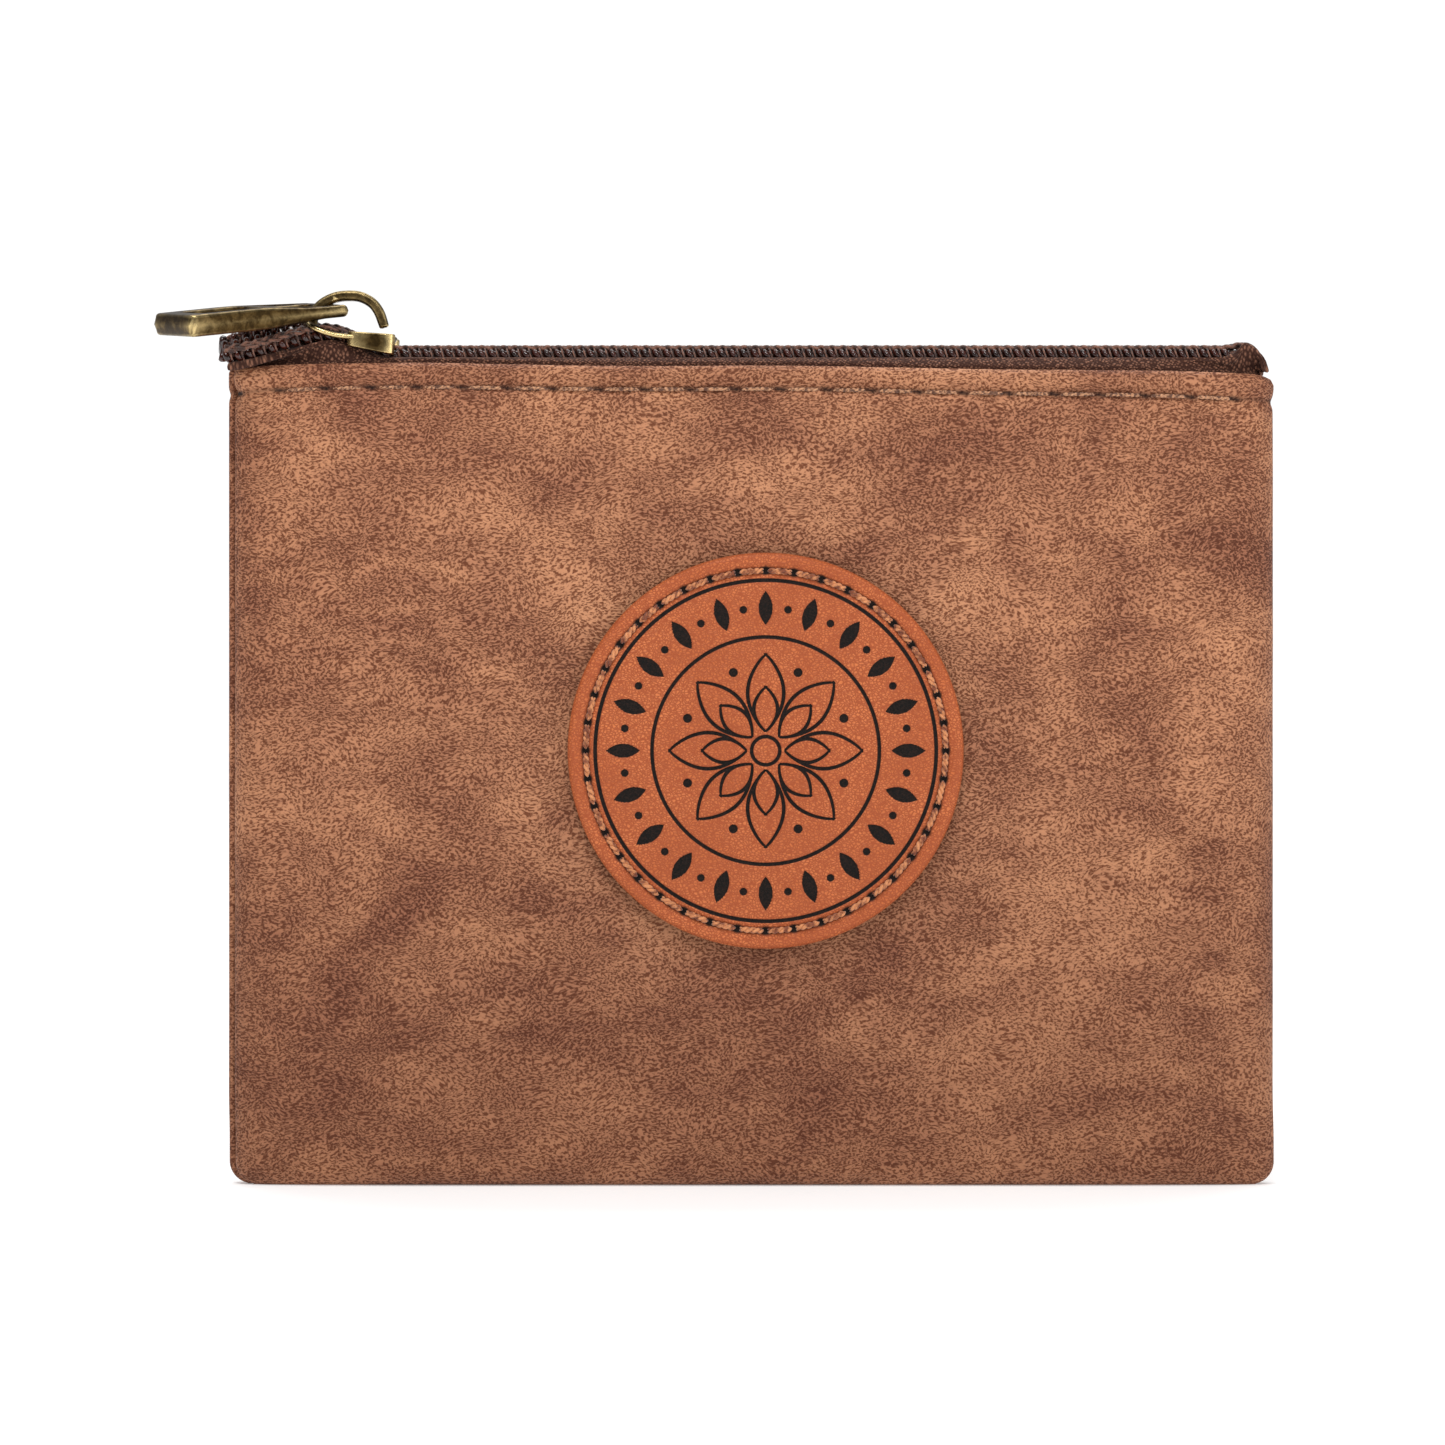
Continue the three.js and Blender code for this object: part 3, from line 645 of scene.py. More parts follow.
def hem_relief(x, z, facing, seed):
    """Relief of the top stitching: a groove with a pit at each hole, a full hem above, puckers below."""
    line = stitch_line(x)
    above = z - line
    phase = (x / TOP_STITCH + seed) % 1.0
    at_hole = np.exp(-((np.minimum(phase, 1 - phase)) / 0.10) ** 2)
    groove = -(GROOVE + 0.32 * at_hole) * np.exp(-(above / (0.50 + 0.25 * at_hole)) ** 2)
    hem = 0.5 * np.exp(-((above - 1.7) / 1.0) ** 2)
    pucker = np.cos(TAU * phase) * 0.14 + np.sin(x * 0.83 + seed) * 0.07
    below = (above < 0) * (1 - np.exp(-(above / 0.7) ** 2))
    puckers = -pucker * np.exp(-np.clip(-above, 0, None) / 2.8) * below
    return groove * (0.55 + 0.45 * facing) + (hem + puckers) * facing


def hole_shade(x, z, seed):
    """Darkness of the stitch holes, and of the trench that the thread lies in."""
    line = stitch_line(x)
    beside = ((x / TOP_STITCH + seed + 0.5) % 1.0 - 0.5) * TOP_STITCH
    near = np.exp(-(beside / 0.75) ** 2 - ((z - line + 0.22 * beside) / 0.24) ** 2)
    trench = 0.40 * np.exp(-((z - line - 0.12) / 0.22) ** 2)
    return np.clip(near * 1.05 + trench, 0, 1)


def panel_columns(step):
    """Shares of the half width and of the depth along a section, from the left seam to the right one."""
    even_to = 55
    bend = np.linspace(0, math.acos((even_to / HALF_WIDTH) ** (SIDE_POWER / 2)), 15)
    edge_x = np.cos(bend) ** (2 / SIDE_POWER)
    edge_y = np.sin(bend)
    count = int(round(even_to / step))
    middle = np.arange(-count + 1, count) * step / HALF_WIDTH
    middle_y = np.sqrt(1 - np.abs(middle) ** SIDE_POWER)
    xs = np.concatenate([-edge_x, middle, edge_x[::-1]])
    ys = np.concatenate([edge_y, middle_y, edge_y[::-1]])
    return xs, ys


def panel_rows(step):
    """(height, share of the way from the bottom seam to the full depth) up one panel."""
    fine_from = HEIGHT - 7
    top = HEIGHT - HEM_THICKNESS / 2
    under = [(0.0, t) for t in np.linspace(0, 0.8, 4)]
    turn = [(BASE_ROUND * (1 - math.cos(a)), 1.0) for a in np.linspace(0.2, math.pi / 2, 8)]
    wall = [(z, 1.0) for z in np.arange(BASE_ROUND + step, fine_from, step)]
    fine = [(z, 1.0) for z in np.arange(fine_from, top, step * 0.4)]
    return under + turn + wall + fine + [(top, 1.0)]


def seam_edge(x_share, z, side):
    """Distance from the middle plane, outwards, at which a panel meets the seam."""
    left, right = SEAM_INSETS
    seam = -(left + (right - left) * smooth((x_share + 1) * 4 - 3.5))
    low = -1.2 * side
    run = 1 - smooth((z - 5) / 6)
    return seam * side + (low - seam * side) * run + RIM + 0.04


def wall_y(x, z, half_width):
    """Outer face of the front panel away from its rounded edges, as a distance from the middle plane."""
    share = np.clip(x / half_width, -0.9995, 0.9995)
    edge = seam_edge(share, z, FRONT)
    return edge + (half_depth(z) - edge) * np.sqrt(1 - np.abs(share) ** SIDE_POWER)


def wall_grid(side, half_widths=FRONT_HALVES, inset=0.0, base=0.0, step=0.6):
    """Grid of points over one wall, inset from the outer face, from the bottom seam to the top edge."""
    xs, ys = panel_columns(step)
    left, right = half_widths
    rows = []
    for z, t in panel_rows(step):
        width = np.where(xs < 0, left, right) - inset - rounding(z, CORNER_ROUND)
        depth = half_depth(z) - inset - rounding(z, BASE_ROUND)
        edge = seam_edge(xs, z, side)
        y = edge + (depth - edge) * ys * t
        x = width * xs
        height = base + z * (1 - base / HEIGHT) - (HEIGHT - top_edge(x)) * (z / HEIGHT) ** 6
        corner = 0.7 * np.clip((x - 57.6) / 2.4, 0, 1) ** 2
        height = height - corner * np.clip((z - 84) / 10, 0, 1) ** 3
        rows.append(np.stack([x, side * y, height], 1))
    return np.array(rows)


def panel_piece(side, name):
    """A leatherette panel with its hem, stitch pits, puckers and soft waves, as a sheet with rolled edges."""
    grid = wall_grid(side, FRONT_HALVES if side == FRONT else BACK_HALVES)
    x, z = grid[..., 0], grid[..., 2]
    seed = SEEDS[side]
    normal = grid_normals(grid) * -side
    facing = np.clip(np.abs(normal[..., 1]), 0, 1)
    waves = 0.30 * ripples(x, z, seed) + 0.14 * ripples(x * 2.7, z * 2.4, seed + 4)
    relief = hem_relief(x, z, facing, seed) + waves * facing
    grid = grid + normal * (relief * smooth(z / 8))[..., None]
    thick = LEATHER + (HEM_THICKNESS - LEATHER) * smooth((z - stitch_line(x)) / 1.5)
    if side == BACK:
        grid, thick, x, z = grid[:, ::-1], thick[:, ::-1], x[:, ::-1], z[:, ::-1]
    points, faces, source = shell(grid, thick)
    place = texture_place(points + np.array([seed * 140, 0, 0]))
    shade = hole_shade(x.ravel()[source], z.ravel()[source], seed)
    return add_mesh(name, points, faces, LEATHERETTE, place, {"shade": shade})


def plain_wall(side, name, material, inset, thickness, base, top):
    """A hidden or inner layer of a wall."""
    grid = wall_grid(side, inset=inset, base=base, step=2.0)
    grid = grid[grid[:, 0, 2] < top]
    if side == BACK:
        grid = grid[:, ::-1]
    points, faces, _ = shell(grid, thickness)
    return add_mesh(name, points, faces, material, texture_place(points))


# ---------- zip ----------

def zip_centre(x, side):
    """Height of the middle of a coil: raised by the slider's mouth, bent down at both ends."""
    end = np.clip((x - 56.5) / 2.4, 0, 0.985)
    right = 0.35 * smooth((x - STRAIGHT_TO) / 2.4) - 3.3 * (1 - np.sqrt(1 - end ** 2))
    left = (2.0 if side == FRONT else 2.6) * smooth((-40.5 - x) / 8.0)
    if side == FRONT:
        left = left - 2.9 * smooth((-47.0 - x) / 14.0)
    else:
        left = left - 2.1 * smooth((-54.0 - x) / 9.0)
    return COIL_MIDDLE + right + left


def zip_roll(x, side):
    """How far a tape leans outwards, so that the top of its coil turns to that side."""
    lean = 0.85 if side == FRONT else 0.45
    return lean * smooth((-45.5 - x) / 9.0)


def zip_parting(x):
    """How far each coil stands off the middle, past the slider's mouth."""
    return 0.95 * smooth((-43.0 - x) / 7.5) + 0.35 * smooth((-50.5 - x) / 9.0)


def zip_point(x, w, h, side):
    """A point of the zip: w outwards from the middle of the chain, h above the middle of the coil."""
    x, w, h = np.broadcast_arrays(np.asarray(x, float), w, h)
    roll = zip_roll(x, side)
    dw, dh = w - TAPE_PIVOT_OUT, h - TAPE_PIVOT_DOWN
    out = TAPE_PIVOT_OUT + dw * np.cos(roll) + dh * np.sin(roll)
    up = TAPE_PIVOT_DOWN - dw * np.sin(roll) + dh * np.cos(roll)
    return np.stack([x, side * (out + zip_parting(x)), zip_centre(x, side) + up], -1)


def turn_starts(side, count):
    """Where each turn of a coil starts: the back coil's turns lie half a pitch past the front ones."""
    offset = 0.0 if side == FRONT else 0.5
    return np.arange(count) + offset


def coil_piece(side, name):
    """The monofilament: each turn runs in under the core, round its coupling head, back out on top, and
    slants down the outer side to the next turn."""
    half = COIL_HEIGHT / 2 - COIL_RADIUS
    outer = COIL_OUTER - COIL_RADIUS
    head = -COIL_HEAD + COIL_RADIUS
    turn = np.array([
        (0.00, outer - 0.45, -half), (0.05, 1.1, -half), (0.12, 0.25, -half),
        (0.15, head + 0.10, -half * 0.6), (0.18, head, 0.0), (0.21, head + 0.10, half * 0.6),
        (0.25, 0.25, half), (0.33, 1.1, half), (0.42, outer - 0.45, half),
        (0.50, outer - 0.12, half * 0.82), (0.62, outer, half * 0.35), (0.78, outer, -half * 0.35),
        (0.92, outer - 0.12, -half * 0.82),
    ])
    count = int((COIL_RIGHT - ZIP_LEFT[side]) / COIL_PITCH) - 1
    x = ZIP_LEFT[side] + (turn_starts(side, count)[:, None] + turn[None, :, 0]) * COIL_PITCH
    path = zip_point(x, turn[None, :, 1], turn[None, :, 2], side).reshape(-1, 3)
    points, faces = sweep(path, COIL_RADIUS, sides=8)
    return add_mesh(name, points, faces, NYLON)


def core_piece(side, name):
    """The cord inside a coil."""
    x = np.arange(ZIP_LEFT[side] + 1, COIL_RIGHT - 0.5, 1.0)
    points, faces = sweep(zip_point(x, 1.5, 0.0, side), 0.42, sides=8)
    return add_mesh(name, points, faces, COIL_YARN)


def braid_piece(side, name):
    """The chain stitching that holds a coil down: three strands plaited along its top, and one thread down
    the outer side between every two turns."""
    top = COIL_HEIGHT / 2
    x = np.arange(ZIP_LEFT[side] + 0.4, COIL_RIGHT - 0.2, 0.22)
    angle = x / (COIL_PITCH * 3) * TAU
    parts = []
    for strand in range(3):
        phase = angle + TAU * strand / 3
        w = 1.55 + 0.42 * np.sin(phase)
        h = top + 0.12 + 0.14 * np.sin(2 * phase)
        parts.append(sweep(zip_point(x, w, h, side), 0.21, sides=6))
    route = np.array([
        (0.86, 1.9, top + 0.10), (0.92, 2.35, top * 0.85), (1.00, 2.62, top * 0.35),
        (1.12, 2.72, -top * 0.25), (1.22, 2.66, -top * 0.8),
    ])
    count = int((COIL_RIGHT - ZIP_LEFT[side]) / COIL_PITCH) - 2
    for start in turn_starts(side, count):
        x = ZIP_LEFT[side] + (start + route[:, 0]) * COIL_PITCH
        parts.append(sweep(zip_point(x, route[:, 1], route[:, 2], side), 0.10, sides=5))
    points, faces = joined(parts)
    return add_mesh(name, points, faces, COIL_YARN)


def tape_piece(side, name):
    """The woven tape: flat under its coil, over a low hump, and down behind the panel's hem."""
    x = np.concatenate([np.arange(TAPE_LEFT[side], -40, 0.7), np.arange(-40, 46, 2.0), np.arange(46, 56, 0.5),
                        np.arange(56, ZIP_RIGHT, 0.2), [ZIP_RIGHT]])
    line = stitch_line(x)
    hem = top_edge(x)
    inner = np.clip(x, -58.4, 58.4)
    behind = np.maximum(wall_y(inner, HEIGHT - 4, HALF_WIDTH) - HEM_THICKNESS - 0.35, 0.5)
    under = -COIL_HEIGHT / 2 - 0.14
    turned_up = 1.85 * smooth((x - 55.2) / 1.3)
    beside = -0.30 + 0.25 * smooth((x - STRAIGHT_TO) / 2.4)
    knots = [
        zip_point(x, 0.6, under + turned_up, side),
        zip_point(x, 1.6, under + turned_up * 1.1, side),
        zip_point(x, 2.75, under + 0.15 + turned_up, side),
        zip_point(x, 3.22, beside + turned_up * 0.3, side),
        np.stack([np.clip(x, -58.7, 58.7), side * np.maximum(behind - 0.1, 1.0), hem + 0.30], 1),
        np.stack([inner, side * behind, hem - 0.5], 1),
        np.stack([inner, side * behind, line - 0.5], 1),
        np.stack([inner, side * behind, line - 7.0], 1),
    ]
    knots = np.array(knots)
    shares = np.concatenate([np.linspace(0, 5, 26), [5.5, 6, 6.5, 7]])
    grid = np.array([curve_point(knots, share) for share in shares])
    if side == FRONT:
        grid = grid[::-1]
    points, faces, source = shell(grid, TAPE_THICKNESS)
    middle = grid[:, 40:60].mean(1)
    spans = np.concatenate([[0], np.cumsum(np.linalg.norm(np.diff(middle, axis=0), axis=1))])
    u = np.broadcast_to(x[None, :], grid.shape[:2]).ravel()[source]
    v = np.broadcast_to(spans[:, None], grid.shape[:2]).ravel()[source]
    return add_mesh(name, points, faces, TAPE_CLOTH, np.stack([u, v, np.zeros(len(u))], 1))


# ---------- slider and pull ----------

def flat_solid(name, outline, holes, thickness, bevel, resolution):
    """A flat brass piece from an outline and its holes in the XY plane, with rounded edges."""
    curve = bpy.data.curves.new(name, "CURVE")
    curve.dimensions = "2D"
    curve.fill_mode = "BOTH"
    curve.extrude = thickness / 2 - bevel
    curve.bevel_depth = bevel
    curve.bevel_resolution = resolution
    curve.offset = -bevel
    for points in [outline, *holes]:
        spline = curve.splines.new("POLY")
        spline.points.add(len(points) - 1)
        for point, (x, y) in zip(spline.points, points):
            point.co = (x, y, 0, 1)
        spline.use_cyclic_u = True
    holder = add_object(name + "_curve", curve)
    bpy.context.view_layer.update()
    mesh = bpy.data.meshes.new_from_object(holder.evaluated_get(bpy.context.evaluated_depsgraph_get()))
    bpy.data.objects.remove(holder)
    bpy.data.curves.remove(curve)
    mesh.name = name
    mesh.materials.clear()
    mesh.materials.append(BRASS)

    def clean(edit):
        bmesh.ops.remove_doubles(edit, verts=edit.verts, dist=1e-4)
        bmesh.ops.recalc_face_normals(edit, faces=edit.faces)

    edit_mesh(mesh, clean)
    shade_smooth(mesh)
    return add_object(name, mesh)


def rounded_box(x0, x1, y0, y1, radius, steps=6):
    """Outline of a rectangle with round corners, anticlockwise."""
    points = []
    corners = ((x1 - radius, y1 - radius, 0), (x0 + radius, y1 - radius, 1),
               (x0 + radius, y0 + radius, 2), (x1 - radius, y0 + radius, 3))
    for cx, cy, quarter in corners:
        for k in range(steps + 1):
            angle = (quarter + k / steps) * math.pi / 2
            points.append((cx + radius * math.cos(angle), cy + radius * math.sin(angle)))
    return points


def change_points(obj, rule):
    """Moves each point of a mesh by a rule from old to new coordinates."""
    co = read_values(obj.data.vertices, "co", float, 3)
    obj.data.vertices.foreach_set("co", rule(co).ravel())
    obj.data.update()


def merge_objects(name, objects):
    """One object from several that share a material."""
    edit = bmesh.new()
    for obj in objects:
        edit.from_mesh(obj.data)
    material = objects[0].data.materials[0]
    for obj in objects:
        bpy.data.objects.remove(obj)
    mesh = bpy.data.meshes.new(name)
    edit.to_mesh(mesh)
    edit.free()
    mesh.materials.append(material)
    return add_object(name, mesh)


def keep_flats_flat(obj):
    """Weights the shading, so that flat faces look flat beside their rounded edges."""
    modifier = obj.modifiers.new("weighted", "WEIGHTED_NORMAL")
    modifier.keep_sharp = False
    modifier.weight = 90


def subdivide_long(obj, length):
    """Cuts long edges, so that bends and wear have points to work on."""

    def subdivide(edit):
        bmesh.ops.triangulate(edit, faces=[f for f in edit.faces if len(f.verts) > 4])
        for _ in range(3):
            long_edges = [e for e in edit.edges if e.calc_length() > length]
            if long_edges:
                bmesh.ops.subdivide_edges(edit, edges=long_edges, cuts=1, use_grid_fill=True)

    edit_mesh(obj.data, subdivide)


def pull_piece():
    """The cast pull: a bar with two windows, thinner at the end that hangs in the bridge."""
    half = PULL_HALF_WIDTH
    outline = rounded_box(-0.85, PULL_LENGTH, -half, half, 0.9)
    bridge_window = rounded_box(0.62, 6.3, -2.75, 2.75, 0.8)[::-1]
    end_window = rounded_box(9.3, 17.8, -2.6, 2.6, 0.8)[::-1]
    obj = flat_solid("pull_tab_cast", outline, [bridge_window, end_window], PULL_THICKNESS, 0.42, 4)
    subdivide_long(obj, 1.0)

    def shape(co):
        thin = 0.56 + 0.44 * smooth((co[:, 0] - 3.0) / 8.0)
        thin = thin * np.sqrt(np.maximum(0.04, 1 - (np.minimum(co[:, 0], 0) / 0.87) ** 2))
        parting = np.clip(1 - np.abs(co[:, 2]) / 0.6, 0, 1) * 0.2
        side_wall = np.abs(co[:, 1]) > half - 0.3
        end_wall = co[:, 0] > PULL_LENGTH - 0.3
        return np.stack([co[:, 0] + parting * end_wall + PULL_OUT,
                         co[:, 1] + np.sign(co[:, 1]) * parting * side_wall - PULL_SHIFT,
                         co[:, 2] * thin], 1)

    change_points(obj, shape)
    turn = (Matrix.Rotation(math.pi + PULL_YAW, 4, "Z") @ Matrix.Rotation(PULL_DECLINE, 4, "Y")
            @ Matrix.Rotation(PULL_ROLL, 4, "X"))
    obj.data.transform(Matrix.Translation(PIVOT * MM) @ turn @ Matrix.Scale(MM, 4))
    keep_flats_flat(obj)
    hang_on(obj, "pull", ["pull_tab"])


def slider_plate(name, length, widths, thickness, height, nose=0.0, crown=0.0):
    """A plate of the slider, as a sheet with round rims over its plan shape."""
    xs = np.linspace(-length, length - 0.6, 31)
    rows = []
    for x in xs:
        t = (x + length) / (2 * length)
        half = widths[0] + (widths[1] - widths[0]) * smooth(t * 1.15 - 0.1)
        end = min(1.0, (length + x) / 2.8, (length - 0.55 - x) / 1.6)
        half *= 0.34 + 0.66 * math.sqrt(max(0.0, 1 - (1 - end) ** 2))
        across = np.linspace(-1, 1, 21)
        lift = nose * max(0.0, (-x - 0.5) / (length - 0.5)) ** 2
        z = height + lift - crown * np.abs(across) ** 3
        rows.append(np.stack([np.full(21, x), half * across, z], 1))
    grid = np.array(rows)[:, ::-1]
    points, faces, _ = shell(grid, thickness, steps=4)
    return add_mesh(name, points, faces, BRASS)


def bridge_mesh():
    """The open hook, a round-edged wire swept along its side line, broader at its foot."""
    line = np.array([
        (-50.55, 97.6), (-50.5, 99.3), (-50.1, 100.4), (-49.2, 101.3), (-47.9, 101.92), (-46.5, 102.12),
        (-45.0, 102.0), (-43.65, 101.3), (-42.85, 100.25), (-42.42, 99.1), (-42.28, 98.62),
    ])
    path = np.array([curve_point(line, share) for share in np.linspace(0, len(line) - 1, 61)])
    tangent = unit(np.gradient(path, axis=0))
    normal = np.stack([-tangent[:, 1], tangent[:, 0]], 1)
    section = rounded_box(-0.78, 0.78, -0.6, 0.6, 0.42, 4)
    rings = []
    for k, (centre, out) in enumerate(zip(path, normal)):
        share = k / (len(path) - 1)
        foot = 1 - smooth(share * 9)
        tip = 1 - 0.08 * smooth((share - 0.8) / 0.2)
        thick = tip * (1 + 0.5 * foot)
        wide = tip * (1 + 0.15 * foot)
        rings.append([(centre[0] + out[0] * v * thick, u * wide, centre[1] + out[1] * v * thick)
                      for u, v in section])
    tip_ring = np.array(rings[-1])
    middle = tip_ring.mean(0)
    ahead = np.array([tangent[-1, 0], 0, tangent[-1, 1]])
    for shrink, push in ((0.88, 0.12), (0.62, 0.18)):
        rings.append(middle + (tip_ring - middle) * shrink + ahead * push)
    points = np.array(rings).reshape(-1, 3)
    faces = tube_faces(len(rings), len(section))
    return add_mesh("bridge", points, faces, BRASS)


def flange_mesh(side):
    """A side wall of the slider: a slanted facet at the mouth, then a flat one, deeper towards the tail."""
    plan = [(-0.2, 4.55), (1.4, 5.0), (4.8, 4.7), (5.2, 4.2), (4.9, 3.4), (1.6, 3.8), (0.0, 3.8)]
    outline = [(x, side * y) for x, y in plan]
    if side == FRONT:
        outline = outline[::-1]
    wall = flat_solid("flange", outline, [], 2.0, 0.18, 3)
    subdivide_long(wall, 1.0)

    def place(co):
        along = np.clip((co[:, 0] + 0.4) / 5.6, 0, 1)
        base = 1.0 - 0.78 * along
        share = np.clip((co[:, 2] + 1) / 2, 0, 1)
        return np.stack([co[:, 0], co[:, 1], base + (UPPER_PLATE_HEIGHT - base) * share], 1)

    change_points(wall, place)
    return wall


def slider_piece():
    """The cast slider: two plates joined by the wedge, side walls and the open bridge."""
    upper = slider_plate("upper_plate", 5.5, (4.7, 4.35), 0.62, UPPER_PLATE_HEIGHT, nose=1.5, crown=0.3)
    lower = slider_plate("lower_plate", 5.2, (2.9, 2.9), 0.8, LOWER_PLATE_HEIGHT)
    wedge_outline = [(-2.9, 0.1), (-4.2, 0.32), (-4.8, 0.28), (-4.8, -0.28), (-4.2, -0.32), (-2.9, -0.1)]
    wedge = flat_solid("wedge", wedge_outline, [], 3.4, 0.08, 1)
    change_points(wedge, lambda co: co + np.array([0, 0, 0.25]))
    flanges = [flange_mesh(FRONT), flange_mesh(BACK)]
    for obj in [wedge, *flanges]:
        obj.data.transform(Matrix.Scale(MM, 4))
    parts = [upper, lower, wedge, *flanges]
    middle = Matrix.Translation((SLIDER_X * MM, 0, SLIDER_HEIGHT * MM))
    for obj in parts:
        obj.data.transform(middle @ Matrix.Rotation(SLIDER_PITCH, 4, "Y"))
    obj = merge_objects("slider_cast", [*parts, bridge_mesh()])
    shade_smooth(obj.data)
    keep_flats_flat(obj)
    hang_on(obj, "slider", ["slider_body"])


# ---------- patch ----------

ENGRAVED_LINE = 0.42
OUTER_RING, INNER_RING, EYE_RING = 19.35, 12.9, 1.6
PETAL_ROOT, PETAL_TIP, PETAL_HALF_WIDTH = 2.2, 10.9, 2.05
INNER_PETAL_SCALE = 0.66
PETALS, LEAVES = 8, 20
BAND_RADIUS = 16.2


def line_mark(distance):
    """1 on an engraved line and 0 beside it."""
    return 1 - smooth((np.abs(distance) - ENGRAVED_LINE / 2 + 0.10) / 0.20)


def rosette_marks(r, a):
    """Two rings of outlined petals round an eye, with a dot between every two petals."""
    share = TAU / PETALS
    turned = (a + share / 2) % share - share / 2
    px, pz = r * np.cos(turned), r * np.sin(turned)
    marks = []
    for scale in (1.0, INNER_PETAL_SCALE):
        length = PETAL_TIP * scale - PETAL_ROOT
        t = np.clip((px - PETAL_ROOT) / length, 0, 1)
        half = PETAL_HALF_WIDTH * scale * np.sin(math.pi * t) ** 0.8
        beside = (px > PETAL_ROOT - 0.2) & (px < PETAL_ROOT + length + 0.3)
        inside = np.abs(px - PETAL_ROOT - length / 2) < length / 2 + 0.12
        marks.append(line_mark(np.where(beside, np.abs(pz) - half, 9.0)) * inside)
    between = (a % share) - share / 2
    from_dot = np.hypot(r * np.cos(between) - 9.6, r * np.sin(between))
    return [*marks, line_mark(r - EYE_RING), 1 - smooth((from_dot - 0.42) / 0.18)]


def band_marks(r, a):
    """Filled leaves and dots in turn, in the band between the two rings."""
    share = TAU / LEAVES
    leaf = (a + share / 2) % share - share / 2
    dot = (a % share) - share / 2
    lx, lz = r - BAND_RADIUS, r * leaf
    half = 0.78 * np.clip(1 - (lx / 1.9) ** 2, 0, 1)
    leaves = 1 - smooth((np.abs(lz) - half + 0.06) / 0.16) - (np.abs(lx) > 1.95)
    return [leaves, 1 - smooth((np.hypot(lx, r * dot) - 0.36) / 0.16)]


def engraving(x, z):
    """Depth share of the engraved design, at points from the patch's middle."""
    r = np.hypot(x, z)
    a = np.arctan2(z, x)
    rings = [line_mark(r - OUTER_RING), line_mark(r - INNER_RING)]
    return np.clip(np.max(np.array(rings + rosette_marks(r, a) + band_marks(r, a)), 0), 0, 1)


def patch_surface(x, z):
    """How far the patch sinks from its flat face, following the panel's curve a little."""
    return 0.006 * ((BADGE_Z + z - 49.8) ** 2) / 8 + 0.0004 * x ** 2


def badge_piece():
    """The leather disc: a fine grid with the design pressed into it, and a rounded, cut edge."""
    flat = np.linspace(0.02, BADGE_FLAT_RADIUS, 184)
    turn = np.linspace(0.15, 1.0, 5) * math.pi / 2
    radii = np.concatenate([flat, BADGE_FLAT_RADIUS + BADGE_EDGE_ROUND * np.sin(turn)])
    fall = np.concatenate([0 * flat, BADGE_EDGE_ROUND * (1 - np.cos(turn))])
    angles = np.linspace(0, TAU, 720, endpoint=False)
    radius, angle = np.meshgrid(radii, angles, indexing="ij")
    x, z = radius * np.cos(angle), radius * np.sin(angle)
    mark = engraving(x, z)
    stitch = np.exp(-((radius - PATCH_THREAD_RADIUS) / 0.60) ** 2)
    phase = (angle / TAU * PATCH_STITCHES) % 1.0
    hole = np.exp(-(np.minimum(phase, 1 - phase) / 0.13) ** 2)
    sunk = mark * 0.16 + stitch * (0.18 + 0.34 * hole) + fall[:, None]
    y = -BADGE_FACE + sunk + patch_surface(x, z) * 0.4
    top = np.stack([BADGE_X + x, y, BADGE_Z + z], -1)
    count = len(angles)
    back_y = -BADGE_FACE + BADGE_THICKNESS
    rim = np.stack([BADGE_X + radii[-1] * np.cos(angles), np.full(count, back_y),
                    BADGE_Z + radii[-1] * np.sin(angles)], 1)
    points = np.concatenate([top.reshape(-1, 3), rim, [[BADGE_X, back_y, BADGE_Z]]])
    faces = tube_faces(len(radii) + 1, count, closed_end=False)
    centre = len(points) - 1
    first = centre - count
    faces += [[first + k, first + (k + 1) % count, centre] for k in range(count)]
    # The engraving's own dark colour from burning, plus painted shade along the stitch ring and at its holes;
    # the turned edge and back rim are partly the cut edge's own colour and partly painted shade.
    burnt_and_shaded = np.clip(mark + stitch * (0.66 + 0.34 * hole), 0, 1) + fall[:, None] * 0.55
    scorch_and_shade = np.concatenate([np.clip(burnt_and_shaded, 0, 1).ravel(), np.full(count + 1, 0.75)])
    obj = add_mesh("leather_patch", points, faces, PATCH_LEATHER, texture_place(points), {"scorch_and_shade": scorch_and_shade})
    hang_on(obj, "front_wall", ["badge"])


def stitch_parts(starts, ends, outward, thread, sink, turns):
    """Twisted stitches that come up at one hole, arch over and go down at the next."""
    plies = 2
    rise = 0.14
    parts = []
    for start, end, out in zip(starts, ends, outward):
        along = end - start
        side = unit(np.cross(along, out))
        t = np.linspace(0, 1, 25)[:, None]
        arch = np.clip(np.sin(math.pi * t), 0, 1) ** 0.45 * (sink + rise) - sink
        middle = start + along * t + out * arch
        for ply in range(plies):
            angle = TAU * (t * turns + ply / plies)
            offset = (side * np.cos(angle) + out * np.sin(angle)) * thread * 0.5
            thin = thread * (0.62 - 0.18 * np.abs(2 * t[:, 0] - 1) ** 4)
            parts.append(sweep(middle + offset, thin, sides=6))
    return parts


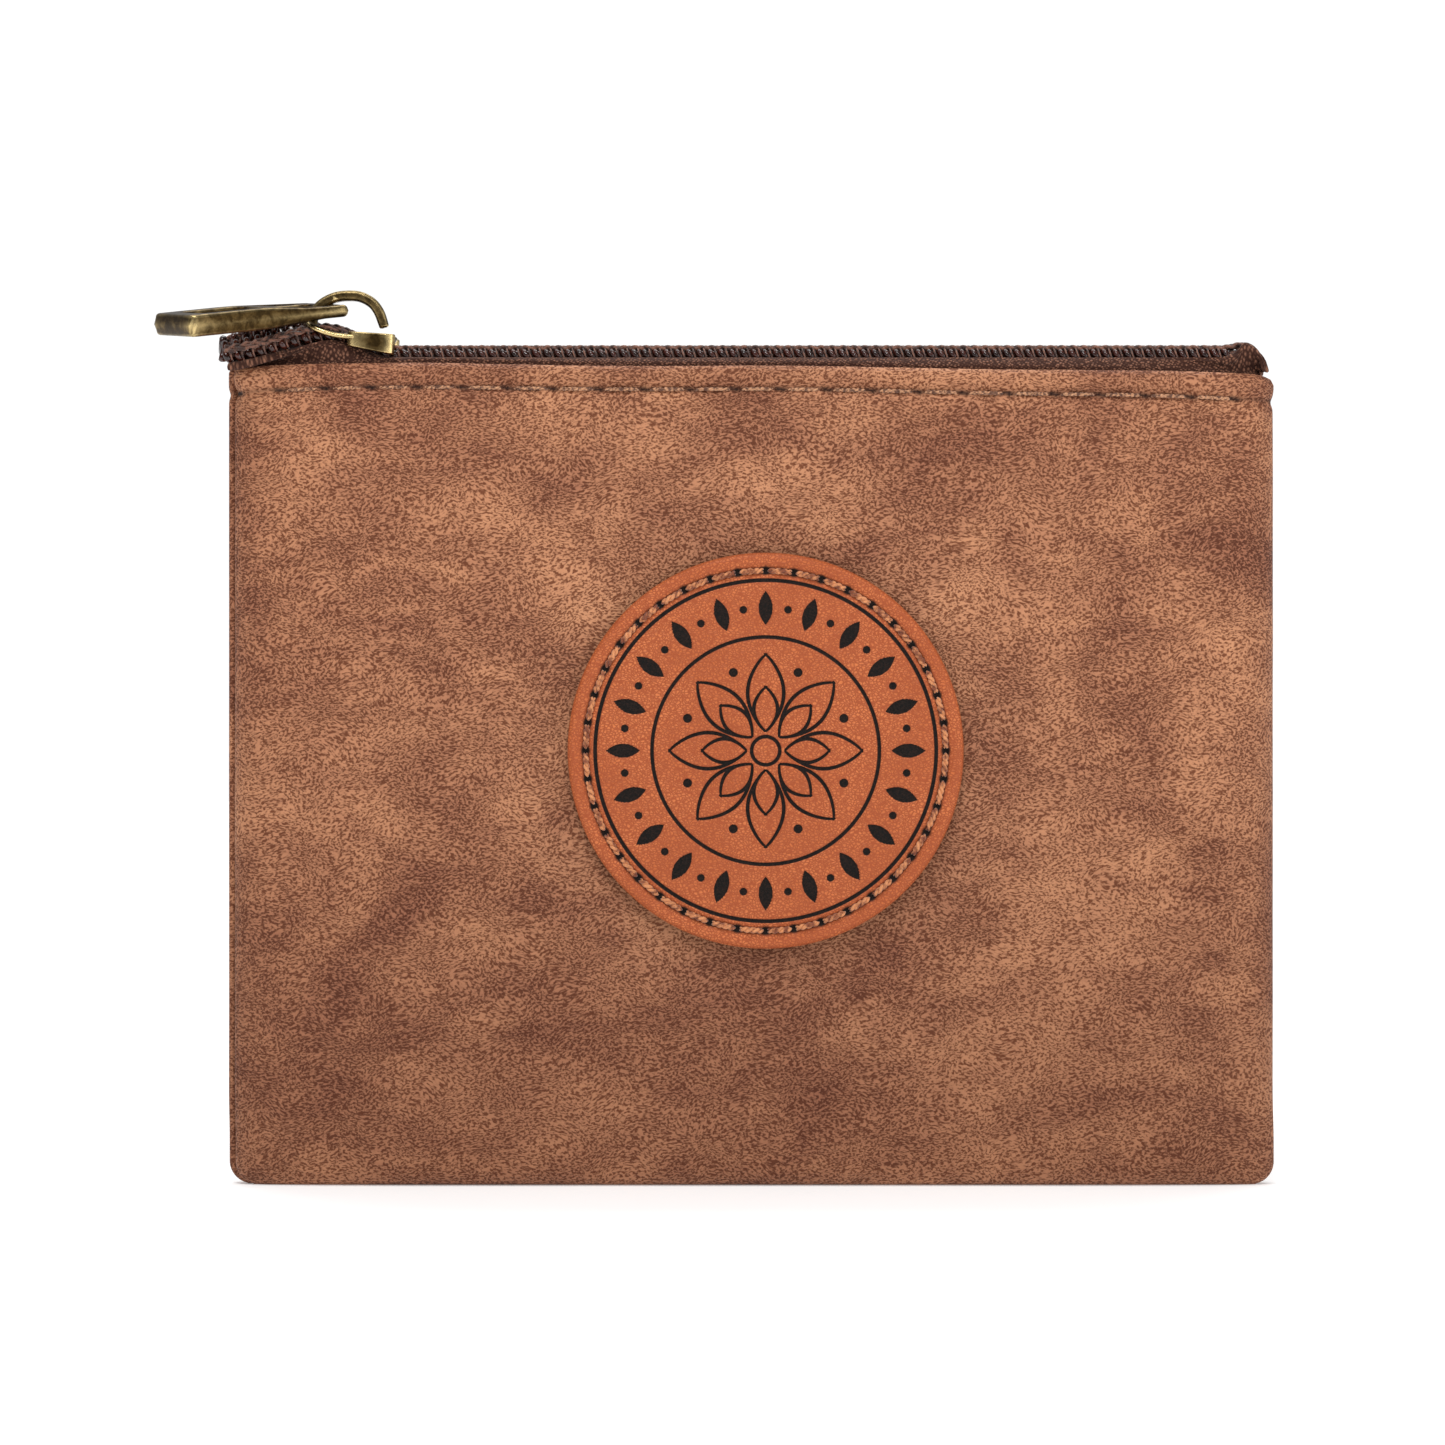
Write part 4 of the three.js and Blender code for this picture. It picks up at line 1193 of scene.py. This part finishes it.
def badge_stitches():
    """The ring of stitches that holds the patch."""
    angles = (np.arange(PATCH_STITCHES) / PATCH_STITCHES) * TAU
    gap = 0.10 * TAU / PATCH_STITCHES
    first, last = angles + gap, angles + TAU / PATCH_STITCHES - gap

    def on_ring(angle):
        x = BADGE_X + PATCH_THREAD_RADIUS * np.cos(angle)
        z = BADGE_Z + PATCH_THREAD_RADIUS * np.sin(angle)
        return np.stack([x, np.full(len(angle), -BADGE_FACE + 0.16), z], 1)

    outward = np.tile([0.0, -1.0, 0.0], (PATCH_STITCHES, 1))
    parts = stitch_parts(on_ring(first), on_ring(last), outward, thread=0.33, sink=0.42, turns=1.8)
    points, faces = joined(parts)
    obj = add_mesh("patch_thread", points, faces, PATCH_YARN)
    hang_on(obj, "front_wall", ["badge_stitching"])


def top_stitches(side, name):
    """The row of stitches under the hem, lying in its groove."""
    first, last, seed = -58.0, 58.2, SEEDS[side]
    count = int((last - first) / TOP_STITCH)
    base = (np.floor(first / TOP_STITCH + seed) - seed + 1) * TOP_STITCH
    starts_x = base + np.arange(count) * TOP_STITCH + 0.7
    ends_x = starts_x + TOP_STITCH - 1.4

    def on_wall(x):
        z = stitch_line(x)
        half_width = np.where((x < 0) & (side == FRONT), FRONT_HALVES[0], HALF_WIDTH)
        return np.stack([x, side * (wall_y(x, z, half_width) - GROOVE * 0.75), z], 1)

    limit = 58.4
    inside = (np.abs(starts_x) < limit) & (np.abs(ends_x) < limit)
    starts, ends = on_wall(starts_x[inside]), on_wall(ends_x[inside])
    outward = np.tile([0.0, float(side), 0.0], (len(starts), 1))
    parts = stitch_parts(starts, ends, outward, thread=0.21, sink=0.45, turns=3.2)
    points, faces = joined(parts)
    return add_mesh(name, points, faces, TOP_YARN)


# ---------- assembly ----------

def hang_pair(make, label, slot, node):
    """The front piece, split at the middle into halves, and the back one, which rides on the pouch body."""
    hang_on_front(make(FRONT, "front_" + label), ["front_" + node])
    hang_on(make(BACK, "back_" + label), "pouch", ["back_" + node])


def padding_layer(side, name):
    return plain_wall(side, name, PADDING, 1.35, 0.7, 1.4, 84)


def lining_layer(side, name):
    return plain_wall(side, name, LINING_CLOTH, 2.6, 0.35, 2.8, 91.5)


for pair in (
    (panel_piece, "leather", "leatherette", "panel"),
    (padding_layer, "padding", "interlining", "interlining"),
    (lining_layer, "lining_cloth", "lining_cloth", "lining"),
    (tape_piece, "tape", "zip_tape", "zip_tape"),
    (coil_piece, "monofilament", "nylon_coil", "coil"),
    (core_piece, "core", "core_yarn", "core_cord"),
    (braid_piece, "chain_stitch", "coil_yarn", "coil_thread"),
    (top_stitches, "top_stitches", "top_yarn", "top_stitching"),
):
    hang_pair(*pair)
seam = frame["nodes"]["shell_seam_stitching"]
seam.data.materials.clear()
seam.data.materials.append(SEAM_YARN)
slider_piece()
pull_piece()
badge_piece()
badge_stitches()


# ---------- floor and light ----------

def add_floor():
    """A plain floor that glows a little more far off, so that it fades into the background."""
    s = Shader("floor", roughness=0.9, specular=0.1)
    place = s.object_place()
    cloud = s.noise(place, 0.01, detail=2.0)
    across, along, _ = s.split(place)
    away = s.math("SQRT", s.plus(s.math("POWER", across, 2.0), s.math("POWER", along, 2.0)))
    glow = s.spread(away, 120.0, 700.0, 0.26, 0.8)
    s.set("Emission Color", (1, 1, 1, 1))
    s.feed(s.surface.inputs["Emission Strength"], glow)
    material = s.finish(s.mix(cloud, (0.86, 0.86, 0.86, 1), (0.9, 0.9, 0.9, 1)))
    mesh = bpy.data.meshes.new("floor")
    size = 3.0
    corners = [(-size, -size, 0), (size, -size, 0), (size, size, 0), (-size, size, 0)]
    mesh.from_pydata(corners, [], [(0, 1, 2, 3)])
    mesh.materials.append(material)
    add_object("floor", mesh)


def add_area(name, place, target, size, power):
    """A rectangular light, turned to a target."""
    data = bpy.data.lights.new(name, "AREA")
    data.shape = "RECTANGLE"
    data.size, data.size_y = size
    data.energy = power
    light = add_object(name, data)
    light.location = place
    light.rotation_euler = (Vector(target) - Vector(place)).to_track_quat("-Z", "Y").to_euler()


def add_world():
    """Soft light from all round, behind a white background."""
    world = bpy.data.worlds.new("studio")
    world.use_nodes = True
    nodes, links = world.node_tree.nodes, world.node_tree.links
    nodes.clear()
    mix = nodes.new("ShaderNodeMixShader")
    for socket, strength in ((1, 0.4), (2, 1.05)):
        light = nodes.new("ShaderNodeBackground")
        light.inputs["Color"].default_value = (1, 1, 1, 1)
        light.inputs["Strength"].default_value = strength
        links.new(light.outputs[0], mix.inputs[socket])
    links.new(nodes.new("ShaderNodeLightPath").outputs["Is Camera Ray"], mix.inputs["Fac"])
    links.new(mix.outputs[0], nodes.new("ShaderNodeOutputWorld").inputs["Surface"])
    bpy.context.scene.world = world
    bpy.context.scene.view_settings.view_transform = "Standard"


add_floor()
add_world()
add_area("key", (-0.15, -0.5, 0.85), (0, 0, 0.05), (0.42, 0.3), 4.3)
add_area("glint", (0.12, -0.6, 0.5), (0, 0, 0.06), (0.04, 0.04), 0.7)
add_area("side", (0.75, -0.55, 0.3), (0, 0, 0.05), (0.35, 0.6), 1.6)
add_area("top", (0.0, 0.35, 0.8), (0, 0, 0.08), (0.7, 0.3), 3.2)
